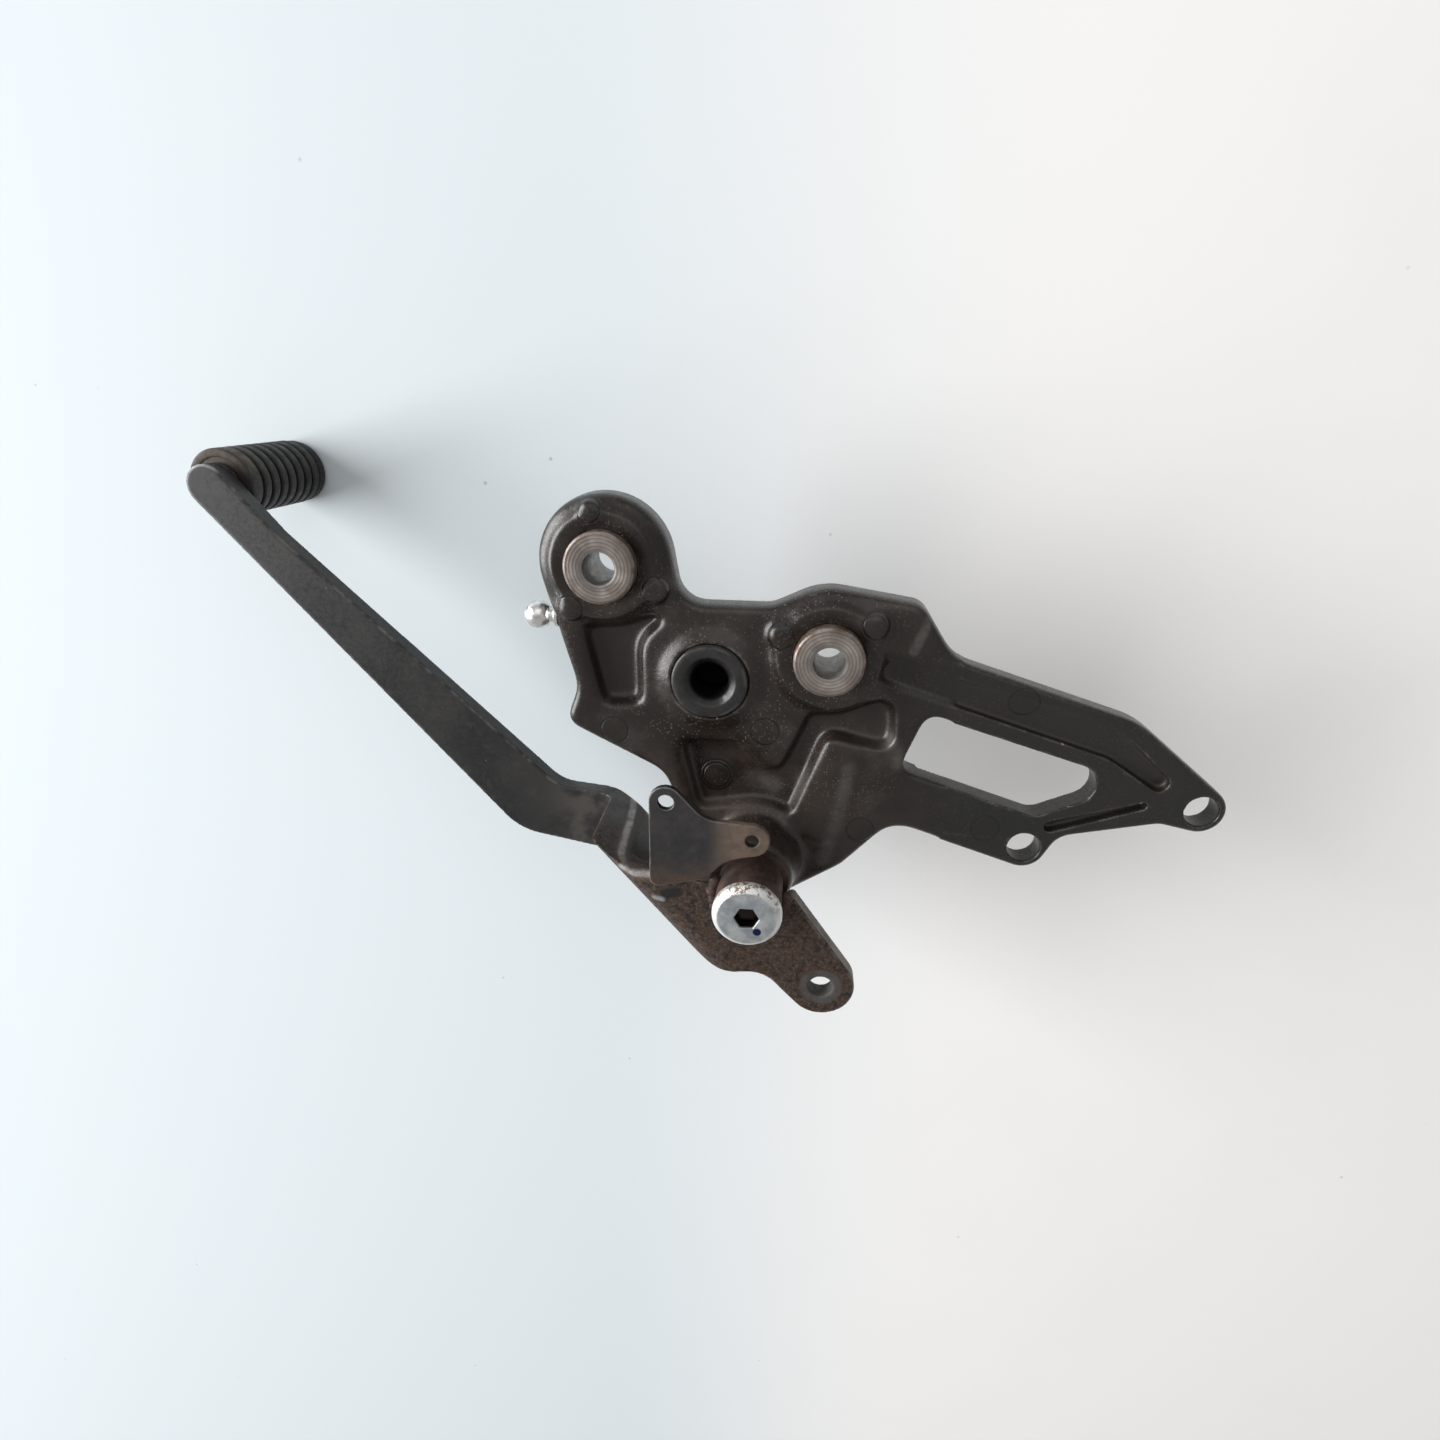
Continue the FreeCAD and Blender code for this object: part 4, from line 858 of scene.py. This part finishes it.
def springPlateFinish():
    look = Finish("earPlate")
    cloud = look.patches(*springPlate["bluePatches"])
    base = look.mix(cloud, springPlate["blueDark"], springPlate["bluePale"])
    footward = look.fade(look.axis("Y"), *springPlate["footTop"])
    rust = look.product(footward, look.patches(*springPlate["rustPatches"]))
    base = look.mix(rust, base, springPlate["rust"])
    tongue = look.ramp(look.axis("X"), *springPlate["tongueStart"])
    dusty = look.product(tongue, look.patches(*springPlate["tanPatches"]))
    base = look.mix(dusty, base, springPlate["tan"])
    dapple = look.patches(*springPlate["dapple"])
    soiled = look.most(rust, look.product(dusty, springPlate["tongueDapple"]))
    base = look.paint(look.product(dapple, soiled), base, springPlate["rustSpecks"])
    ridge = look.ramp(look.stored("ridge"), *springPlate["ridgeRange"])
    ridge = look.product(ridge, look.ramp(tongue, 0.0, 1.0, 1.0, springPlate["tongueWear"]))
    worn = look.product(ridge, look.patches(*springPlate["wornPatches"]))
    base = look.paint(worn, base, springPlate["worn"])
    base = look.mix(look.spot(*springPlate["switchHole"]), base, springPlate["holeDirt"])
    rough = look.patches(*springPlate["roughPatches"])
    rough = look.math("ADD", rough, look.product(look.most(rust, dusty), springPlate["dirtRoughness"]))
    normal = look.bump(look.noise(*springPlate["grain"]), *springPlate["grainBump"])
    return look.finish(base, roughness=rough, normal=normal)


earPlate = roundedSkin("spring_plate", "springPlate", springPlate)
settle(earPlate, "pedal", "lever_black", springPlateFinish(), "spring_plate")
print("small pieces dressed")


# How finely a grown ring is cut round its axis and at each corner
ringSteps = {"around": 72, "corner": 4}


# Geometry node tree with named inputs; values are set before the first evaluation
class Grower:
    def __init__(self, name, inputs):
        self.tree = bpy.data.node_groups.new(name, "GeometryNodeTree")
        self.tree.interface.new_socket(name="Geometry", in_out="OUTPUT", socket_type="NodeSocketGeometry")
        self.values = inputs
        self.keys = {}
        for label, number in inputs.items():
            kind = "NodeSocketInt" if isinstance(number, int) else "NodeSocketFloat"
            made = self.tree.interface.new_socket(name=label, in_out="INPUT", socket_type=kind)
            self.keys[label] = made.identifier
        self.given = self.add("NodeGroupInput")

    def add(self, kind, **sockets):
        node = self.tree.nodes.new(kind)
        for label, value in sockets.items():
            self.put(node.inputs[label.replace("_", " ")], value)
        return node

    def put(self, socket, value):
        if isinstance(value, bpy.types.NodeSocket):
            self.tree.links.new(value, socket)
        else:
            socket.default_value = value

    def named(self, label):
        return self.given.outputs[label]

    def math(self, operation, first, second):
        node = self.add("ShaderNodeMath")
        node.operation = operation
        self.put(node.inputs[0], first)
        self.put(node.inputs[1], second)
        return node.outputs[0]

    def vector(self, x=0.0, y=0.0, z=0.0):
        return self.add("ShaderNodeCombineXYZ", X=x, Y=y, Z=z).outputs[0]

    # Rounded ring round the Z axis: mean radius, length along the axis, wall and corner rounding
    def ring(self, radius, length, wall, corner):
        path = self.add("GeometryNodeCurvePrimitiveCircle", Resolution=ringSteps["around"], Radius=radius)
        shape = self.add("GeometryNodeCurvePrimitiveQuadrilateral", Width=wall, Height=length)
        fillet = self.add("GeometryNodeFilletCurve", Curve=shape.outputs[0], Radius=corner)
        fillet.mode = "POLY"
        self.put(fillet.inputs["Count"], ringSteps["corner"])
        swept = self.add(
            "GeometryNodeCurveToMesh",
            Curve=path.outputs["Curve"],
            Profile_Curve=fillet.outputs[0],
        )
        return swept.outputs[0]

    def moved(self, geometry, offset):
        return self.add("GeometryNodeTransform", Geometry=geometry, Translation=offset).outputs[0]

    def grow(self, name, parts, material):
        join = self.add("GeometryNodeJoinGeometry")
        for part in parts:
            self.tree.links.new(part, join.inputs[0])
        real = self.add("GeometryNodeRealizeInstances", Geometry=join.outputs[0])
        smooth = self.add("GeometryNodeSetShadeSmooth", Geometry=real.outputs[0])
        dressed = self.add("GeometryNodeSetMaterial", Geometry=smooth.outputs[0], Material=material)
        self.put(self.add("NodeGroupOutput").inputs[0], dressed.outputs[0])
        piece = bpy.data.objects.new(name, bpy.data.meshes.new(name))
        scene.collection.objects.link(piece)
        modifier = piece.modifiers.new("grown", "NODES")
        modifier.node_group = self.tree
        for label, number in self.values.items():
            modifier[self.keys[label]] = number
        return plainMesh(piece)


# Toe rubber: ribs repeated along a sleeve, with a plain collar and a rounded end
rubber = {
    "ribs": 7,
    "ribPitch": 4.3 * mm,
    "ribLength": 3.15 * mm,
    "ribCorner": 0.70 * mm,
    "groove": 2.1 * mm,
    "ribRoot": 0.6 * mm,
    "outerRadius": 10.0 * mm,
    "collarLength": 4.9 * mm,
    "collarCorner": 0.7 * mm,
    "endRadius": 9.75 * mm,
    "endCorner": 1.15 * mm,
    "boreRadius": 4.05 * mm,
    "coreShortfall": 0.5 * mm,
    "coreCorner": 0.3 * mm,
    "capOverlap": 1.0 * mm,
    "capDepth": 2.3 * mm,
    "capRise": 1.5 * mm,
    "sharpAngle": math.radians(40),
    "specular": 0.4,
    "rubberPatches": (180, 5, 0.65, 0.36, 0.66),
    "dark": (0.0125, 0.0125, 0.0128),
    "pale": (0.0250, 0.0238, 0.0230),
    "dustRise": (-34 * mm, -24 * mm),
    "dustTop": (2 * mm, 8 * mm),
    "dustPatches": (260, 6, 0.7, 0.34, 0.58),
    "dust": (0.070, 0.046, 0.030),
    "grooveReach": (8.0 * mm, 9.6 * mm),
    "grooveTop": (-23 * mm, -22 * mm, 0.8, 0.0),
    "grooveShade": (0.003, 0.003, 0.003),
    "filmPatches": (90, 5, 0.55, 0.38, 0.64),
    "film": ((0.050, 0.040, 0.033), 0.25),
    "specks": (900, 0.25, 0.10),
    "speck": ((0.14, 0.12, 0.10), 0.5),
    "roughPatches": (600, 4, 0.55, 0.3, 0.7, 0.46, 0.68),
    "grain": (1100, 5, 0.7),
    "grainBump": (0.30, 0.12 * mm),
}


def rubberFinish():
    look = Finish("toeRubber", specular=rubber["specular"])
    base = look.mix(look.patches(*rubber["rubberPatches"]), rubber["dark"], rubber["pale"])
    armward = look.ramp(look.axis("Z"), *rubber["dustRise"])
    upper = look.ramp(look.axis("Y"), *span(toe.y, rubber["dustTop"]))
    soil = look.product(armward, upper, look.patches(*rubber["dustPatches"]))
    base = look.mix(soil, base, rubber["dust"])
    sunk = look.fade(look.reach(toe), *rubber["grooveReach"])
    sunk = look.product(sunk, look.ramp(look.axis("Z"), *rubber["grooveTop"]))
    base = look.mix(sunk, base, rubber["grooveShade"])
    base = look.paint(look.patches(*rubber["filmPatches"]), base, rubber["film"])
    base = look.paint(look.specks(*rubber["specks"]), base, rubber["speck"])
    rough = look.patches(*rubber["roughPatches"])
    normal = look.bump(look.noise(*rubber["grain"]), *rubber["grainBump"])
    return look.finish(base, roughness=rough, normal=normal)


def growRubber():
    low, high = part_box("toe_rubber")
    outer = rubber["outerRadius"]
    wall = rubber["groove"] + rubber["ribRoot"]
    labels = ("ribs", "ribPitch", "ribLength", "ribCorner")
    grown = Grower("ribbedSleeve", {label: rubber[label] for label in labels})
    rib = grown.ring(outer - wall / 2, grown.named("ribLength"), wall, grown.named("ribCorner"))
    gap = rubber["ribPitch"] - rubber["ribLength"]
    first = high.z - rubber["collarLength"] - gap - rubber["ribLength"] / 2
    line = grown.add(
        "GeometryNodeMeshLine",
        Count=grown.named("ribs"),
        Start_Location=(toe.x, toe.y, first),
        Offset=grown.vector(z=grown.math("MULTIPLY", grown.named("ribPitch"), -1.0)),
    )
    ribs = grown.add("GeometryNodeInstanceOnPoints", Points=line.outputs[0], Instance=rib).outputs[0]
    endLength = high.z - low.z - rubber["collarLength"] - gap - rubber["ribs"] * rubber["ribPitch"]
    end = grown.ring(rubber["endRadius"] - wall / 2, endLength, wall, rubber["endCorner"])
    end = grown.moved(end, (toe.x, toe.y, low.z + endLength / 2))
    collar = grown.ring(outer - wall / 2, rubber["collarLength"], wall, rubber["collarCorner"])
    collar = grown.moved(collar, (toe.x, toe.y, high.z - rubber["collarLength"] / 2))
    coreOuter = outer - rubber["groove"]
    coreWall = coreOuter - rubber["boreRadius"]
    coreLength = high.z - low.z - rubber["coreShortfall"]
    core = grown.ring(coreOuter - coreWall / 2, coreLength, coreWall, rubber["coreCorner"])
    core = grown.moved(core, (toe.x, toe.y, (low.z + high.z) / 2))
    cap = grown.add(
        "GeometryNodeMeshCylinder",
        Vertices=ringSteps["around"],
        Radius=rubber["boreRadius"] + rubber["capOverlap"],
        Depth=rubber["capDepth"],
    )
    cap = grown.moved(cap.outputs[0], (toe.x, toe.y, low.z + rubber["capRise"]))
    piece = grown.grow("toeRubber", [ribs, end, collar, core, cap], rubberFinish())
    piece.data.set_sharp_from_angle(angle=rubber["sharpAngle"])
    return piece


toeRubber = growRubber()
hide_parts("toe_rubber")
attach(toeRubber, "pedal")
print("toe rubber grown:", len(toeRubber.data.polygons), "faces")


# Weld between the pivot tube and the pedal plate: scallops along an arc
weld = {
    "beads": 40,
    "radius": 10.3 * mm,
    "startAngle": math.radians(158),
    "sweep": math.radians(200),
    "height": 20.1 * mm,
    "beadSize": 1.7 * mm,
    "sizeRange": (0.82, 1.22),
    "flatness": 0.75,
    "seed": 7,
    "arcSteps": 64,
    "beadSegments": 16,
    "beadRings": 10,
}


def growWeld(material):
    labels = ("beads", "radius", "startAngle", "sweep", "beadSize", "seed")
    grown = Grower("weldScallops", {label: weld[label] for label in labels})
    arc = grown.add(
        "GeometryNodeCurveArc",
        Resolution=weld["arcSteps"],
        Radius=grown.named("radius"),
        Start_Angle=grown.named("startAngle"),
        Sweep_Angle=grown.named("sweep"),
    )
    points = grown.add("GeometryNodeCurveToPoints", Curve=arc.outputs[0], Count=grown.named("beads"))
    bead = grown.add(
        "GeometryNodeMeshUVSphere",
        Segments=weld["beadSegments"],
        Rings=weld["beadRings"],
        Radius=1.0,
    )
    size = grown.add("FunctionNodeRandomValue", Seed=grown.named("seed"))
    size.data_type = "FLOAT"
    smallest, largest = weld["sizeRange"]
    grown.put(size.inputs[2], smallest)   # Min and Max of a float value
    grown.put(size.inputs[3], largest)
    scale = grown.math("MULTIPLY", size.outputs[1], grown.named("beadSize"))
    flat = grown.math("MULTIPLY", scale, weld["flatness"])
    beads = grown.add(
        "GeometryNodeInstanceOnPoints",
        Points=points.outputs["Points"],
        Instance=bead.outputs[0],
        Rotation=points.outputs["Rotation"],
        Scale=grown.vector(scale, scale, flat),
    )
    placed = grown.moved(beads.outputs[0], (pivot.x, pivot.y, weld["height"]))
    return grown.grow("weldBead", [placed], material)


weldBead = growWeld(dirtySteel)
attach(weldBead, "pedal")
print("weld grown:", len(weldBead.data.polygons), "faces")


# Pale table, soft window light from the left, and the camera
stage = {
    "floorDrop": 0.3 * mm,
    "floorSize": 6.0,
    "roughness": 0.72,
    "specular": 0.3,
    "sideRange": (-0.05, 0.14),
    "leftTable": (0.70, 0.765, 0.800),
    "rightTable": (0.91, 0.905, 0.90),
    "cloudPatches": (9, 5, 0.55, 0.45, 0.70),
    "cloud": ((0.74, 0.76, 0.77), 0.10),
    "crumbs": (130, 0.10, 0.035),
    "crumbPatches": (12, 3, 0.55, 0.50, 0.62),
    "crumb": ((0.30, 0.27, 0.24), 0.55),
    "lamps": (("ceiling", (0.30, 1.50, 1.90), 2.0, 8.0), ("window", (-2.10, 0.30, 0.66), 2.0, 116.0)),
    "lampAim": (0.03, -0.04, 0.0),
    "sky": 0.40,
    "skyColour": (1.0, 0.985, 0.97, 1.0),
}
cameraView = {
    "place": (0.05283, 0.04410, 0.2110),
    "right": (0.99478, 0.0, -0.10203),
    "up": (-0.03895, 0.92426, -0.37979),
    "lens": 20.275,
}


def tableFinish():
    look = Finish("paleTable", roughness=stage["roughness"], specular=stage["specular"])
    side = look.ramp(look.axis("X"), *stage["sideRange"])
    base = look.mix(side, stage["leftTable"], stage["rightTable"])
    base = look.paint(look.patches(*stage["cloudPatches"]), base, stage["cloud"])
    crumbs = look.product(look.specks(*stage["crumbs"]), look.patches(*stage["crumbPatches"]))
    base = look.paint(crumbs, base, stage["crumb"])
    return look.finish(base)


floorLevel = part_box("toe_rubber")[0].z - stage["floorDrop"]
half = stage["floorSize"] / 2
floorMesh = bpy.data.meshes.new("table")
outline = ((-half, -half), (half, -half), (half, half), (-half, half))
floorMesh.from_pydata([(x, y, floorLevel) for x, y in outline], [], [(0, 1, 2, 3)])
floor = bpy.data.objects.new("table", floorMesh)
scene.collection.objects.link(floor)
floorMesh.materials.append(tableFinish())

for name, place, size, power in stage["lamps"]:
    lampData = bpy.data.lights.new(name, "AREA")
    lampData.size = size
    lampData.energy = power
    lamp = bpy.data.objects.new(name, lampData)
    lamp.location = place
    towards = Vector(stage["lampAim"]) - lamp.location
    lamp.rotation_euler = towards.to_track_quat("-Z", "Y").to_euler()
    scene.collection.objects.link(lamp)

world = bpy.data.worlds.new("room")
world.use_nodes = True
background = world.node_tree.nodes["Background"]
background.inputs["Color"].default_value = stage["skyColour"]
background.inputs["Strength"].default_value = stage["sky"]
scene.world = world
scene.view_settings.view_transform = "Standard"

cameraData = bpy.data.cameras.new("camera")
cameraData.lens = cameraView["lens"]
camera = bpy.data.objects.new("camera", cameraData)
right = Vector(cameraView["right"])
up = Vector(cameraView["up"])
turn = Matrix((right, up, right.cross(up))).transposed()
camera.matrix_world = Matrix.Translation(cameraView["place"]) @ turn.to_4x4()
scene.collection.objects.link(camera)
scene.camera = camera
print("table, lamps and camera set")
